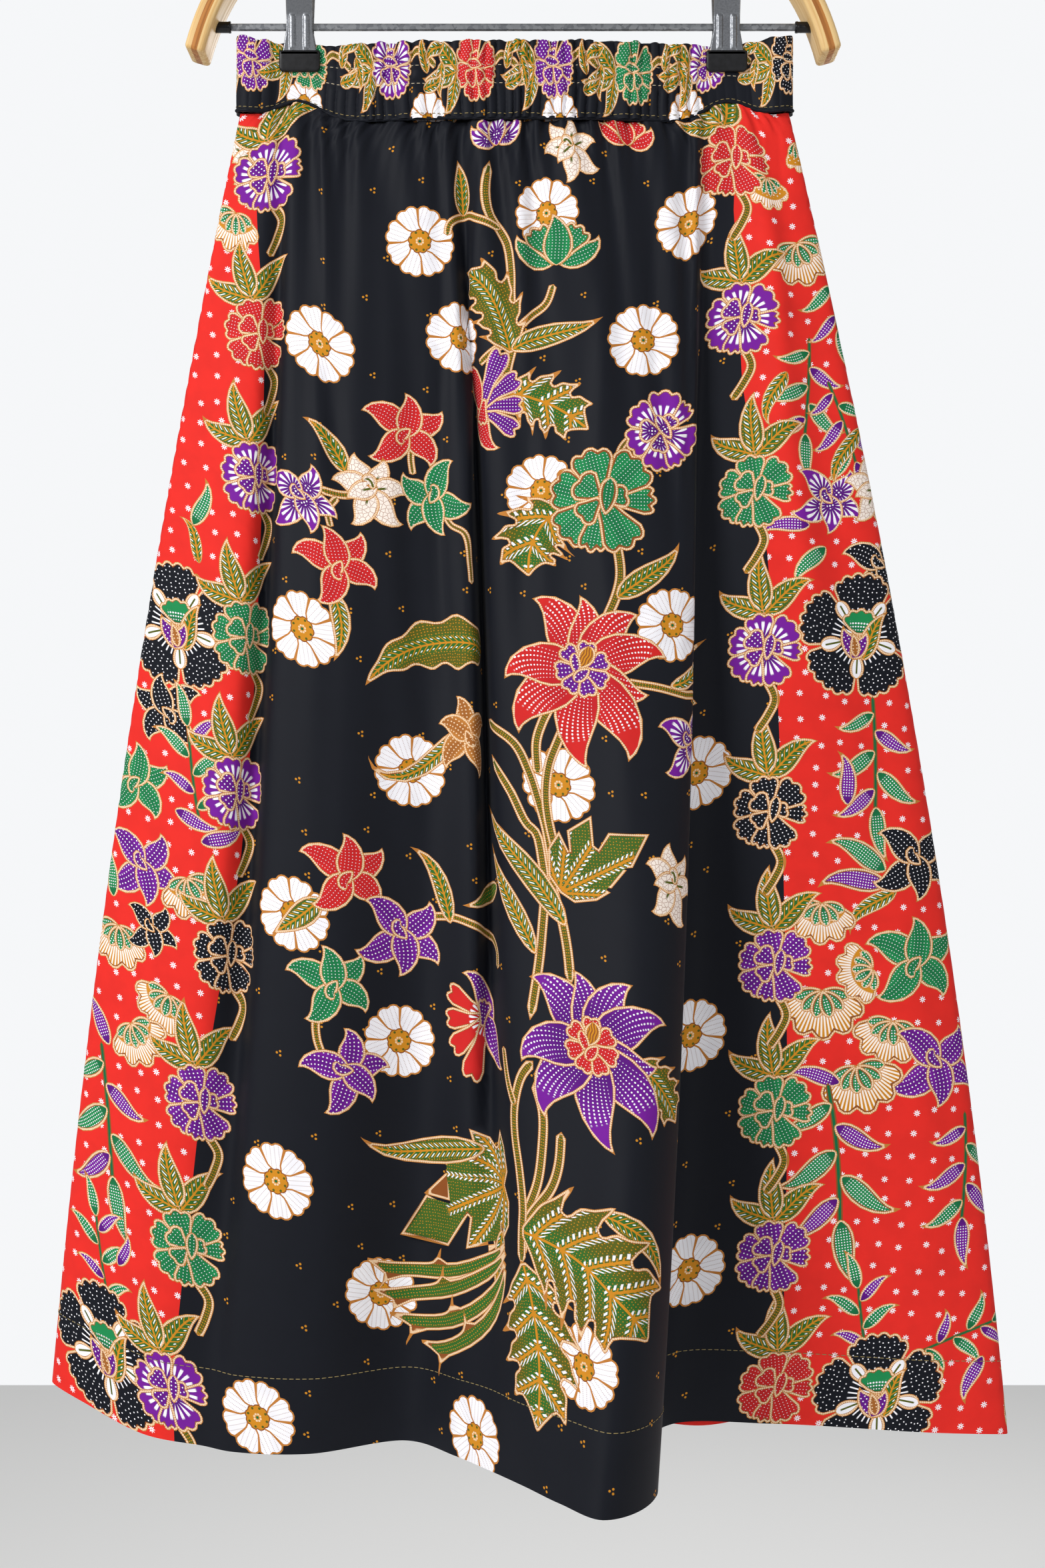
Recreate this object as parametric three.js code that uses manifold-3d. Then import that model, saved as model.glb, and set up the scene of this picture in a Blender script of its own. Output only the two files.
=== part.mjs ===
// A batik maxi skirt hung by its gathered waistband from a wooden hanger with two spring clips.
// Millimetres, +Z up, X to the viewer's right. The skirt's front faces -Y.
// The origin is where a rail carries the hook: the top of the hook's inner curve.
import * as THREE from "three";
import { mergeVertices } from "three/addons/utils/BufferGeometryUtils.js";
import Module from "manifold-3d";

const wasm = await Module();
wasm.setup();

// Gap kept between pieces that touch or are sewn together.
const GAP = 0.3;

// Cloth
const PANEL_THICK = 1.5;
const BAND_THICK = 2.6;
const SEAM_OUT = GAP / 2;
const CLIPPED_OUT = BAND_THICK + 0.35;
const SEAM_Z = -262.5;
const SEAM_RISE_AT_ENDS = 8;
const SEAM_RISE_AT_CLIPS = 13;
const SEAM_RISE_WIDTH = 21;
const SEAM_GAP = GAP + 0.1;
const BAND_TOP_Z = -209;
const BAND_TOP_RISE_AT_ENDS = 7;
const HEM_Z = -1155;
const MID_SHARE = 0.42;
const HALF_WAIST = 188;

// Small gathers under the waistband, and the pleats that they run into lower down.
const GATHER_WIDTH = 17;
const GATHER_OUT = 2.4;
const GATHER_FADE = 42;
const PLEAT_WIDTH = 41;
const PLEAT_OUT = 4.2;
const PLEAT_STARTS = 28;
const PLEAT_FADE = 150;
const PLEAT_SHIFT = 7;
const WANDER = { slow: 0.3, slowWidth: 23, quick: 0.2, quickWidth: 9.5 };

// Waistband gathers, drawn up by the elastic inside it.
const BAND_GATHERS = 50;
const BAND_GATHER_OUT = 1.0;
const BAND_BOW = { front: 15, back: 14 };
const BAND_BOW_FALL = 1.6;
const BAND_DRIFT = 0.5;
const BAND_DRIFT_WIDTH = 19;
const BAND_VARIES = 0.25;
const BAND_VARIES_WIDTH = 7.3;
const CLIP_HOLD = 1.6;
const CLIP_HOLD_WIDTH = 20;

// How finely each is meshed. Rows are closer together at the waist.
const FRONT_MESH = { rows: 14, step: 4.4 };
const BACK_MESH = { rows: 10, step: 6.2 };
const ROWS_CLOSER = 1.7;
const COLUMNS_PER_GATHER = 4;
const CURVE_STEPS = 400;
const ROUND_SIDES = 20;
const STEM_SIDES = 14;
const SPRING_SIDES = 16;
const RIB_SIDES = 10;
const ARCH_STEPS = 18;
const WIRE_SIDES = 8;
const WIRE_STEPS = 36;
const WELD = 1e-4;

// Hanger
const ROD_Z = -195;
const ROD_HIGH = 4.6;
const ROD_DEEP = 3;
const ROD_END_GAP = 2;
const ROD_SLOT_LONG = 40;
const SOCKET_RADIUS = 4;
const SOCKET_LONG = 16;
const SOCKET_SUNK = 5;
const POCKET_LONG = 20;
const ARM_THICK = 14;
const ARM_DEEP = 34;
const ARM_EDGE = 2.5;
const ARM_INNER_X = 204.2;
const ARCH = { topZ: -92, shoulderX: 100, elbowX: 188, elbowZ: -110, endX: 216, endZ: -213 };
const WIRE_RADIUS = 1.75;
const HOOK_INNER_RADIUS = 21;
const HOOK_START_DEG = -58;
const HOOK_END_DEG = 205;
const HOOK_STEP_DEG = 17.5;
const STEM_SUNK = 9;

// The hook's neck: how far it swings out, and its height above the arm.
const HOOK_NECK = [
  { x: 0, above: 12 },
  { x: 1.2, above: 24 },
  { x: 4.6, above: 33 },
];

// Clips
const CLIP_X = 146;
const PLATE_THICK = 1;
const PLATE_WIDE_LOW = 23;
const PLATE_WIDE_HIGH = 18;
const PLATE_NARROWS_OVER = 14;
const PLATE_AT_ROD = 4.9;
const PLATE_FOOT = 2.5;
const PLATE_FLAT_BELOW_ROD = 4;
const PLATE_FLAT_ABOVE_ROD = 6;
const LEVER_ABOVE_ROD = 26;
const LEVER_OUT = 12;
const PAD_WIDE = 28;
const PAD_HIGH = 14.5;
const PAD_THICK = 3.4;
const PAD_BOTTOM_Z = -227;
const PAD_CORNER = 3;
const PAD_SLOT_LONG = 20;
const RIB_WIDE = 4.2;
const RIB_LONG = 24;
const RIB_PROUD = 0.9;
const RIB_SUNK = 0.9;
const RIB_INTO_PLATE = 0.4;
const RIB_FOOT = 1;
const RIB_APART = 9.6;
const RIB_ABOVE_PAD = 0.6;
const RIB_CUT = { wide: 40, deep: 10, high: 60 };
const SPRING_LONG = 13;
const SPRING_RADIUS = 4.6;
const SPRING_BORE = 3.3;
const BORE_PAST_ENDS = 2;

const material = (color, roughness, metalness = 0) =>
  new THREE.MeshStandardMaterial({ color, roughness, metalness });

const CLOTH = material(0x14171f, 0.75);
const BORDER_CLOTH = material(0xb52a22, 0.75);
const WOOD = material(0xd9b777, 0.5);
const STEEL = material(0x8b8f94, 0.35, 1);
const CHROME = material(0xb9bcc0, 0.2, 1);
const VINYL = material(0x0d0d0e, 0.3);

const part = new THREE.Group();

function addMesh(name, geometry, look) {
  const mesh = new THREE.Mesh(geometry, look);
  mesh.name = name;
  part.add(mesh);
  return mesh;
}

// Each row is a crest or trough line that runs down a panel from the waistband to the hem.
// x is its place across, out its depth away from the hanger's plane, rise how far the hem is
// lifted there. Each is given at the waist, at MID_SHARE of the way down, and at the hem.
const COLUMNS = ["name", "xWaist", "xMid", "xHem", "outWaist", "outMid", "outHem", "rise"];
const named = (row) => Object.fromEntries(COLUMNS.map((key, i) => [key, row[i]]));

const LEFT_SEAM = ["left seam", -187, -253.5, -316, SEAM_OUT, SEAM_OUT, SEAM_OUT, 34];
const RIGHT_SEAM = ["right seam", 189, 268, 339, SEAM_OUT, SEAM_OUT, SEAM_OUT, -3];

const FRONT_LINES = [
  LEFT_SEAM,
  ["left edge", -186.5, -252.5, -313, 3, 7, 10, 33],
  ["left side round", -180, -232, -288, 4.5, 17, 26, 24],
  ["border crest", -170, -184, -246, 5, 29, 42, 8],
  ["first fold, trough", -157, -170, -205, 3, 14, 48, 2],
  ["first fold, crest", -150, -160, -186, 4, 31, 54, 0],
  ["left belly", -113, -114, -135, 7.5, 40, 59, 0],
  ["left dip", -72, -60, -71, 10, 27, 36, 2],
  ["second fold, left crest", -49, -27, -38, 12, 37, 66, 1],
  ["second fold, trough", -38, -20, -16, 9.5, 17, 92, 0],
  ["second fold, right crest", -29, -12, 8, 12.5, 38, 120, -2],
  ["centre slope", 12, 42, 30, 13, 56, 144, -5],
  ["centre crest", 62, 89, 56, 11.5, 64, 165, -8],
  ["centre flank", 122, 119, 90, 6, 50, 128, -6],
  ["third fold, trough", 133, 118, 88, 3.5, 24, 52, 0],
  ["third fold, foot", 139, 132, 106, 4, 19, 11, 5],
  ["right flat", 156, 186, 178, 4.5, 25, 8, 5],
  ["right side round", 180, 238, 284, 4.5, 18, 15, 1],
  ["right edge", 188.5, 266, 336, 3, 7, 8, -2],
  RIGHT_SEAM,
].map(named);

const BACK_LINES = [
  LEFT_SEAM,
  ["left edge", -186.5, -252.5, -313, 3, 6, 8, 33],
  ["first crest", -160, -205, -246, 5, 22, 38, 14],
  ["first trough", -118, -140, -164, 6.5, 7, 5, 4],
  ["second crest", -74, -84, -92, 10, 25, 46, 0],
  ["second trough", -28, -22, -14, 12, 8, 7, 0],
  ["third crest", 20, 38, 60, 12, 26, 44, -2],
  ["third trough", 66, 96, 128, 10, 8, 6, 0],
  ["fourth crest", 108, 152, 196, 6.5, 23, 42, 0],
  ["fourth trough", 146, 204, 262, 4, 9, 9, 0],
  ["right side round", 178, 246, 310, 5, 15, 22, -1],
  ["right edge", 188.5, 266, 336, 3, 6, 8, -2],
  RIGHT_SEAM,
].map(named);

// The waistband's outer face, the same all the way up: flat in the clips, bowed open elsewhere.
// Each row is its place across and its depth away from the hanger's plane.
const bandLines = (bow) =>
  [
    [-188, SEAM_OUT],
    [-189, 4],
    [-182, 8],
    [-174, 6.5],
    [-167, 3.8],
    [-162, CLIPPED_OUT],
    [-146, CLIPPED_OUT],
    [-130, CLIPPED_OUT],
    [-124, 3.8],
    [-111, 6],
    [-62, bow - BAND_BOW_FALL],
    [0, bow],
    [62, bow - BAND_BOW_FALL],
    [111, 6],
    [124, 3.8],
    [130, CLIPPED_OUT],
    [146, CLIPPED_OUT],
    [162, CLIPPED_OUT],
    [167, 3.8],
    [175, 6.5],
    [183, 8],
    [191, 4],
    [190, SEAM_OUT],
  ].map(([x, out]) => ({ x, out }));

// Value at share s of a quadratic through its values at the waist, at MID_SHARE and at the hem.
function downCloth(waist, mid, hem, s) {
  const atWaist = ((s - MID_SHARE) * (s - 1)) / MID_SHARE;
  const atMid = (s * (s - 1)) / (MID_SHARE * (MID_SHARE - 1));
  const atHem = (s * (s - MID_SHARE)) / (1 - MID_SHARE);
  return waist * atWaist + mid * atMid + hem * atHem;
}

const bump = (distance, width) => Math.exp(-((distance / width) ** 2));

// How close x is to a clip: 1 in its middle, 0 well away from it.
const nearClip = (x, width) => bump(Math.abs(x) - CLIP_X, width);

const endShare = (x) => Math.min(1, Math.abs(x) / HALF_WAIST) ** 6;

const seamZ = (x) =>
  SEAM_Z + SEAM_RISE_AT_ENDS * endShare(x) + SEAM_RISE_AT_CLIPS * nearClip(x, SEAM_RISE_WIDTH);

const bandTopZ = (x) => BAND_TOP_Z + BAND_TOP_RISE_AT_ENDS * endShare(x);

// Unevenly spaced waves across the waist, from -1 to 1.
function wave(x, width) {
  const slow = WANDER.slow * Math.sin(x / WANDER.slowWidth);
  const quick = WANDER.quick * Math.sin(x / WANDER.quickWidth);
  return Math.sin(2 * Math.PI * (x / width + slow + quick));
}

function gatherOut(xWaist, below) {
  const small = GATHER_OUT * Math.exp(-below / GATHER_FADE);
  const large = PLEAT_OUT * (1 - Math.exp(-below / PLEAT_STARTS)) * Math.exp(-below / PLEAT_FADE);
  const atSeam = 1 - endShare(xWaist);
  const pleats = large * wave(xWaist + PLEAT_SHIFT, PLEAT_WIDTH);
  return atSeam * (small * wave(xWaist, GATHER_WIDTH) + pleats);
}

// A smooth curve through points. The place along it is counted in points.
function curveThrough(points) {
  const curve = new THREE.CatmullRomCurve3(points, false, "centripetal");
  return (place) => curve.getPoint(place / (points.length - 1));
}

// The curve across a panel's lines at a share s of its length, in x and depth.
const acrossAt = (lines, s) =>
  curveThrough(
    lines.map(
      (l) =>
        new THREE.Vector3(
          downCloth(l.xWaist, l.xMid, l.xHem, s),
          downCloth(l.outWaist, l.outMid, l.outHem, s),
          0,
        ),
    ),
  );

// The points of a panel's outer face at a share s of its length, by their place across its lines.
function panelSection(lines, s) {
  const across = acrossAt(lines, s);
  const atWaist = acrossAt(lines, 0);
  const risen = curveThrough(lines.map((l) => new THREE.Vector3(l.xHem, l.rise, 0)));
  return (place) => {
    const p = across(place);
    const waistX = atWaist(place).x;
    const top = seamZ(waistX) - SEAM_GAP;
    const hem = HEM_Z + risen(place).y;
    const z = top + (hem - top) * s;
    return { x: p.x, out: p.y + gatherOut(waistX, top - z), z };
  };
}

// Places across the lines, close enough together at the waist to carry the gathers.
function placesAcross(lines, step) {
  const places = [0];
  for (let i = 0; i + 1 < lines.length; i += 1) {
    const wide = Math.abs(lines[i + 1].xWaist - lines[i].xWaist);
    const count = Math.max(i === 0 || i + 2 === lines.length ? 1 : 2, Math.round(wide / step));
    for (let k = 1; k <= count; k += 1) places.push(i + k / count);
  }
  return places;
}

// A closed wall from its outer and inner grids of points, each a list of rows.
function wallGeometry(outer, inner) {
  const rows = outer.length;
  const columns = outer[0].length;
  const positions = [...outer.flat(), ...inner.flat()].flatMap((p) => [p.x, p.y, p.z]);
  const at = (layer, row, column) => layer * rows * columns + row * columns + column;
  const index = [];
  const quad = (a, b, c, d) => index.push(a, b, c, a, c, d);
  for (let r = 0; r + 1 < rows; r += 1) {
    for (let c = 0; c + 1 < columns; c += 1) {
      quad(at(0, r, c), at(0, r + 1, c), at(0, r + 1, c + 1), at(0, r, c + 1));
      quad(at(1, r, c), at(1, r, c + 1), at(1, r + 1, c + 1), at(1, r + 1, c));
    }
    quad(at(0, r, 0), at(1, r, 0), at(1, r + 1, 0), at(0, r + 1, 0));
    const last = columns - 1;
    quad(at(0, r, last), at(0, r + 1, last), at(1, r + 1, last), at(1, r, last));
  }
  for (let c = 0; c + 1 < columns; c += 1) {
    quad(at(0, 0, c), at(0, 0, c + 1), at(1, 0, c + 1), at(1, 0, c));
    const last = rows - 1;
    quad(at(0, last, c), at(1, last, c), at(1, last, c + 1), at(0, last, c + 1));
  }
  const geometry = new THREE.BufferGeometry();
  geometry.setAttribute("position", new THREE.Float32BufferAttribute(positions, 3));
  geometry.setIndex(index);
  return geometry;
}

// side is -1 for the front and 1 for the back. Depths away from the hanger become +-Y.
const placed = (p, side) => new THREE.Vector3(p.x, side * p.out, p.z);

// The two grids of a cloth wall, the inner one a thickness towards the hanger's plane. In the row
// sewn at the waist seam, the inner points follow the seam's line too.
function clothWall(sections, plain, thick, side, seamRow) {
  const outer = sections.map((row) => row.map((p) => placed(p, side)));
  const base = plain.map((row) => row.map((p) => placed(p, side)));
  const inner = base.map((row, r) =>
    row.map((p, c) => {
      const left = row[Math.max(0, c - 1)];
      const right = row[Math.min(row.length - 1, c + 1)];
      const up = base[Math.max(0, r - 1)][c];
      const down = base[Math.min(base.length - 1, r + 1)][c];
      const across = new THREE.Vector3().subVectors(right, left);
      const along = new THREE.Vector3().subVectors(down, up);
      const inward = across.cross(along).multiplyScalar(-side).normalize();
      if (c === 0) inward.set(1, 0, 0);
      if (c === row.length - 1) inward.set(-1, 0, 0);
      inward.z = 0;
      const q = p.clone().addScaledVector(inward.normalize(), thick);
      if (r === seamRow) q.z += seamZ(q.x) - seamZ(p.x);
      return q;
    }),
  );
  return side < 0 ? wallGeometry(outer, inner) : wallGeometry(mirrored(outer), mirrored(inner));
}

const mirrored = (rows) => rows.map((row) => [...row].reverse());

function panelGeometry(lines, mesh, side) {
  const places = placesAcross(lines, mesh.step);
  const shares = Array.from({ length: mesh.rows + 1 }, (_, j) => (j / mesh.rows) ** ROWS_CLOSER);
  const sections = shares.map((s) => places.map(panelSection(lines, s)));
  return clothWall(sections, sections, PANEL_THICK, side, 0);
}

function bandGeometry(bow, side) {
  const lines = bandLines(bow);
  const across = curveThrough(lines.map((l) => new THREE.Vector3(l.x, l.out, 0)));
  const count = BAND_GATHERS * COLUMNS_PER_GATHER;
  const curve = new THREE.CatmullRomCurve3(
    Array.from({ length: CURVE_STEPS + 1 }, (_, i) =>
      across((i * (lines.length - 1)) / CURVE_STEPS),
    ),
  );
  const spaced = curve.getSpacedPoints(count);
  const grid = (gathered) =>
    [0, 1].map((down) =>
      spaced.map((p, i) => {
        const clipped = Math.min(1, CLIP_HOLD * nearClip(p.x, CLIP_HOLD_WIDTH));
        const free = 1 - Math.max(clipped, endShare(p.x));
        const drift = BAND_DRIFT * Math.sin(p.x / BAND_DRIFT_WIDTH) + Math.PI / 4;
        const phase = (2 * Math.PI * i) / COLUMNS_PER_GATHER + drift;
        const wide = 1 - BAND_VARIES + BAND_VARIES * Math.sin(p.x / BAND_VARIES_WIDTH);
        const out = gathered * free * BAND_GATHER_OUT * wide * Math.sin(phase);
        const z = bandTopZ(p.x) + (seamZ(p.x) - bandTopZ(p.x)) * down;
        return { x: p.x, out: p.y + out, z };
      }),
    );
  return clothWall(grid(1), grid(0), BAND_THICK, side, 1);
}

function skirt() {
  addMesh("front_panel", panelGeometry(FRONT_LINES, FRONT_MESH, -1), CLOTH);
  addMesh("back_panel", panelGeometry(BACK_LINES, BACK_MESH, 1), BORDER_CLOTH);
  addMesh("waistband_front", bandGeometry(BAND_BOW.front, -1), CLOTH);
  addMesh("waistband_back", bandGeometry(BAND_BOW.back, 1), CLOTH);
}

// Booleans, done with closed meshes whose shared vertices are merged.
function solidOf(geometry) {
  const bare = geometry.clone();
  bare.deleteAttribute("normal");
  bare.deleteAttribute("uv");
  const merged = mergeVertices(bare, WELD);
  const vertProperties = new Float32Array(merged.attributes.position.array);
  const triVerts = new Uint32Array(merged.index.array);
  return new wasm.Manifold(new wasm.Mesh({ numProp: 3, vertProperties, triVerts }));
}

function geometryOf(solid) {
  const mesh = solid.getMesh();
  const geometry = new THREE.BufferGeometry();
  geometry.setAttribute("position", new THREE.BufferAttribute(mesh.vertProperties, 3));
  geometry.setIndex(new THREE.BufferAttribute(mesh.triVerts, 1));
  return geometry;
}

// A block with its long axis along X, Y or Z, centred on a point.
const block = (x, y, z, wide, deep, high) =>
  new THREE.BoxGeometry(wide, deep, high).translate(x, y, z);

const alongX = (radius, long, x, z, sides = ROUND_SIDES) =>
  new THREE.CylinderGeometry(radius, radius, long, sides).rotateZ(Math.PI / 2).translate(x, 0, z);

// The centre line of the bent arm, from one end over the top to the other.
function archLine() {
  const half = new THREE.CubicBezierCurve(
    new THREE.Vector2(0, ARCH.topZ),
    new THREE.Vector2(ARCH.shoulderX, ARCH.topZ),
    new THREE.Vector2(ARCH.elbowX, ARCH.elbowZ),
    new THREE.Vector2(ARCH.endX, ARCH.endZ),
  ).getSpacedPoints(ARCH_STEPS);
  const left = half.slice(1).reverse().map((p) => new THREE.Vector2(-p.x, p.y));
  return [...left, ...half];
}

function archShape() {
  const line = archLine();
  const edge = (sign) =>
    line.map((p, i) => {
      const before = line[Math.max(0, i - 1)];
      const after = line[Math.min(line.length - 1, i + 1)];
      const along = after.clone().sub(before).normalize();
      const half = sign * (ARM_THICK / 2 - ARM_EDGE);
      return new THREE.Vector2(p.x - along.y * half, p.y + along.x * half);
    });
  return new THREE.Shape([...edge(1), ...edge(-1).reverse()]);
}

function hangerArm() {
  const bevel = { bevelEnabled: true, bevelThickness: ARM_EDGE, bevelSize: ARM_EDGE };
  const depth = ARM_DEEP - 2 * ARM_EDGE;
  const arch = new THREE.ExtrudeGeometry(archShape(), {
    depth,
    bevelSegments: 2,
    curveSegments: 6,
    ...bevel,
  });
  arch.rotateX(Math.PI / 2).translate(0, depth / 2, 0);
  const socketEnd = ARM_INNER_X + SOCKET_SUNK;
  const pocketMiddle = socketEnd + GAP - POCKET_LONG / 2;
  const pocket = (sign) =>
    solidOf(alongX(SOCKET_RADIUS + GAP, POCKET_LONG, sign * pocketMiddle, ROD_Z));
  const stemHole = solidOf(
    new THREE.CylinderGeometry(WIRE_RADIUS + GAP, WIRE_RADIUS + GAP, 2 * STEM_SUNK, STEM_SIDES)
      .rotateX(Math.PI / 2)
      .translate(0, 0, ARCH.topZ + ARM_THICK / 2),
  );
  const wood = solidOf(arch).subtract(pocket(1)).subtract(pocket(-1)).subtract(stemHole);
  addMesh("hanger_arm", geometryOf(wood), WOOD);
}

function circleShape(radius, sides) {
  const points = Array.from({ length: sides }, (_, i) => {
    const angle = (2 * Math.PI * i) / sides;
    return new THREE.Vector2(radius * Math.cos(angle), radius * Math.sin(angle));
  });
  return new THREE.Shape(points);
}

// The hook rises from the arm, swings out and curls over the rail.
function hook() {
  const radius = HOOK_INNER_RADIUS + WIRE_RADIUS;
  const centreZ = -HOOK_INNER_RADIUS;
  const stemTop = ARCH.topZ + ARM_THICK / 2;
  const neck = HOOK_NECK.map(({ x, above }) => [x, stemTop + above]);
  const points = [[0, stemTop - STEM_SUNK + GAP], ...neck];
  for (let degrees = HOOK_START_DEG; degrees <= HOOK_END_DEG; degrees += HOOK_STEP_DEG) {
    const angle = THREE.MathUtils.degToRad(degrees);
    points.push([radius * Math.cos(angle), centreZ + radius * Math.sin(angle)]);
  }
  const path = new THREE.CatmullRomCurve3(points.map(([x, z]) => new THREE.Vector3(x, 0, z)));
  const wire = new THREE.ExtrudeGeometry(circleShape(WIRE_RADIUS, WIRE_SIDES), {
    steps: WIRE_STEPS,
    bevelEnabled: false,
    extrudePath: path,
  });
  addMesh("hook", wire, CHROME);
}

function rodAndSockets() {
  const rodHalf = ARM_INNER_X + SOCKET_SUNK - ROD_END_GAP;
  addMesh("rod", block(0, 0, ROD_Z, 2 * rodHalf, ROD_DEEP, ROD_HIGH), STEEL);
  for (const [name, sign] of [["left", -1], ["right", 1]]) {
    const centre = sign * (ARM_INNER_X + SOCKET_SUNK - SOCKET_LONG / 2);
    const body = solidOf(alongX(SOCKET_RADIUS, SOCKET_LONG, centre, ROD_Z));
    const slotMiddle = sign * (rodHalf + GAP - ROD_SLOT_LONG / 2);
    const slotDeep = ROD_DEEP + 2 * GAP;
    const slotHigh = ROD_HIGH + 2 * GAP;
    const slot = block(slotMiddle, 0, ROD_Z, ROD_SLOT_LONG, slotDeep, slotHigh);
    addMesh(`rod_socket_${name}`, geometryOf(body.subtract(solidOf(slot))), VINYL);
  }
}

// How far out the inner face of a clip plate is in its pad.
const PLATE_OUT = CLIPPED_OUT + GAP + (PAD_THICK - PLATE_THICK) / 2;

// A clip plate in side view: straight from the pad past the rod, then flared to its lever.
const PLATE_FACE = [
  { out: PLATE_OUT, z: PAD_BOTTOM_Z + PLATE_FOOT },
  { out: PLATE_OUT, z: PAD_BOTTOM_Z + PAD_HIGH },
  { out: PLATE_AT_ROD, z: ROD_Z - PLATE_FLAT_BELOW_ROD },
  { out: PLATE_AT_ROD, z: ROD_Z + PLATE_FLAT_ABOVE_ROD },
  { out: LEVER_OUT, z: ROD_Z + LEVER_ABOVE_ROD },
];

// One plate with its two raised ribs. side is -1 in front of the skirt and 1 behind it.
function clipPlate(name, clipX, side) {
  const padTop = PAD_BOTTOM_Z + PAD_HIGH;
  const widths = PLATE_FACE.map(({ z }) => {
    const share = Math.min(1, Math.max(0, (z - padTop) / PLATE_NARROWS_OVER));
    return PLATE_WIDE_LOW + (PLATE_WIDE_HIGH - PLATE_WIDE_LOW) * share;
  });
  const grid = (extra) =>
    PLATE_FACE.map(({ out, z }, i) =>
      [-0.5, 0.5].map(
        (across) => new THREE.Vector3(clipX + across * widths[i], side * (out + extra), z),
      ),
    );
  const upright = (rows) => [...rows].reverse();
  const outer = upright(grid(PLATE_THICK));
  const inner = upright(grid(0));
  const plate = side < 0 ? wallGeometry(outer, inner) : wallGeometry(mirrored(outer), mirrored(inner));
  let solid = solidOf(plate);
  const ribZ = padTop + RIB_LONG / 2 + RIB_ABOVE_PAD;
  const ribOut = side * (PLATE_AT_ROD + PLATE_THICK - RIB_SUNK);
  const cutOut = side * (PLATE_AT_ROD + RIB_INTO_PLATE - RIB_CUT.deep / 2);
  for (const sign of [-1, 1]) {
    const rib = new THREE.CylinderGeometry(RIB_WIDE / 2, RIB_WIDE / 2, RIB_LONG, RIB_SIDES)
      .scale(1, 1, (RIB_PROUD + RIB_FOOT) / (RIB_WIDE / 2))
      .rotateX(Math.PI / 2)
      .translate(clipX + (sign * RIB_APART) / 2, ribOut, ribZ);
    const inside = block(clipX, cutOut, ribZ, RIB_CUT.wide, RIB_CUT.deep, RIB_CUT.high);
    solid = solid.add(solidOf(rib).subtract(solidOf(inside)));
  }
  addMesh(name, geometryOf(solid), STEEL);
}

// The dipped black tip: a rounded block with a slot that takes the plate's end.
function clipPad(name, clipX, side) {
  const centreOut = PLATE_OUT + PLATE_THICK / 2;
  const shape = new THREE.Shape();
  const half = PAD_WIDE / 2;
  shape.moveTo(-half, PAD_HIGH);
  shape.lineTo(-half, PAD_CORNER);
  shape.quadraticCurveTo(-half, 0, -half + PAD_CORNER, 0);
  shape.lineTo(half - PAD_CORNER, 0);
  shape.quadraticCurveTo(half, 0, half, PAD_CORNER);
  shape.lineTo(half, PAD_HIGH);
  const body = new THREE.ExtrudeGeometry(shape, {
    depth: PAD_THICK,
    bevelEnabled: false,
    curveSegments: 4,
  });
  body.rotateX(Math.PI / 2).translate(clipX, side * centreOut + PAD_THICK / 2, PAD_BOTTOM_Z);
  const slot = block(
    clipX,
    side * centreOut,
    PAD_BOTTOM_Z + PLATE_FOOT - GAP + PAD_SLOT_LONG / 2,
    PLATE_WIDE_LOW + 2 * GAP,
    PLATE_THICK + 2 * GAP,
    PAD_SLOT_LONG,
  );
  addMesh(name, geometryOf(solidOf(body).subtract(solidOf(slot))), VINYL);
}

// The coil on the rod that presses both plates together.
function clipSpring(name, clipX) {
  const coil = solidOf(alongX(SPRING_RADIUS, SPRING_LONG, clipX, ROD_Z, SPRING_SIDES));
  const boreLong = SPRING_LONG + BORE_PAST_ENDS;
  const bore = solidOf(alongX(SPRING_BORE, boreLong, clipX, ROD_Z, SPRING_SIDES));
  addMesh(name, geometryOf(coil.subtract(bore)), CHROME);
}

function clips() {
  for (const [name, clipX] of [["left", -CLIP_X], ["right", CLIP_X]]) {
    clipPlate(`clip_${name}_front_plate`, clipX, -1);
    clipPlate(`clip_${name}_rear_plate`, clipX, 1);
    clipPad(`clip_${name}_front_pad`, clipX, -1);
    clipPad(`clip_${name}_rear_pad`, clipX, 1);
    clipSpring(`clip_${name}_spring`, clipX);
  }
}

skirt();
hangerArm();
hook();
rodAndSockets();
clips();

export default part;
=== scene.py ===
# A batik maxi skirt on a wooden clip hanger: printed cloth panels, a gathered waistband, the
# bent-wood hanger with its bar and hook, and two spring clips.
import math
from dataclasses import dataclass, replace

import bpy
import numpy as np
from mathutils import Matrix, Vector
from mathutils.geometry import delaunay_2d_cdt


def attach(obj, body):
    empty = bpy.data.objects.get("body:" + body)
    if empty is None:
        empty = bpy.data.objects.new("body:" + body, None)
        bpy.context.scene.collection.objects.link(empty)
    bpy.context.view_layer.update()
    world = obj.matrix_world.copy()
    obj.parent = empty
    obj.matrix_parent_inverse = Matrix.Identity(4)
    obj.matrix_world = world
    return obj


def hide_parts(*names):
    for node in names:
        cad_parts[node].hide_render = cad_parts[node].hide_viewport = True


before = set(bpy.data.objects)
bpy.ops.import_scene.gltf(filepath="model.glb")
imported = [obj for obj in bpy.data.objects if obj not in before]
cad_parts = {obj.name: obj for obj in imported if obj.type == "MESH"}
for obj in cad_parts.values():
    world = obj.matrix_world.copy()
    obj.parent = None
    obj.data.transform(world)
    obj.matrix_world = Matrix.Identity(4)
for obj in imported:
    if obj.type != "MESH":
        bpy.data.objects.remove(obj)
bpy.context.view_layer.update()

MM = 0.001
TINY = 1e-9

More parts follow.
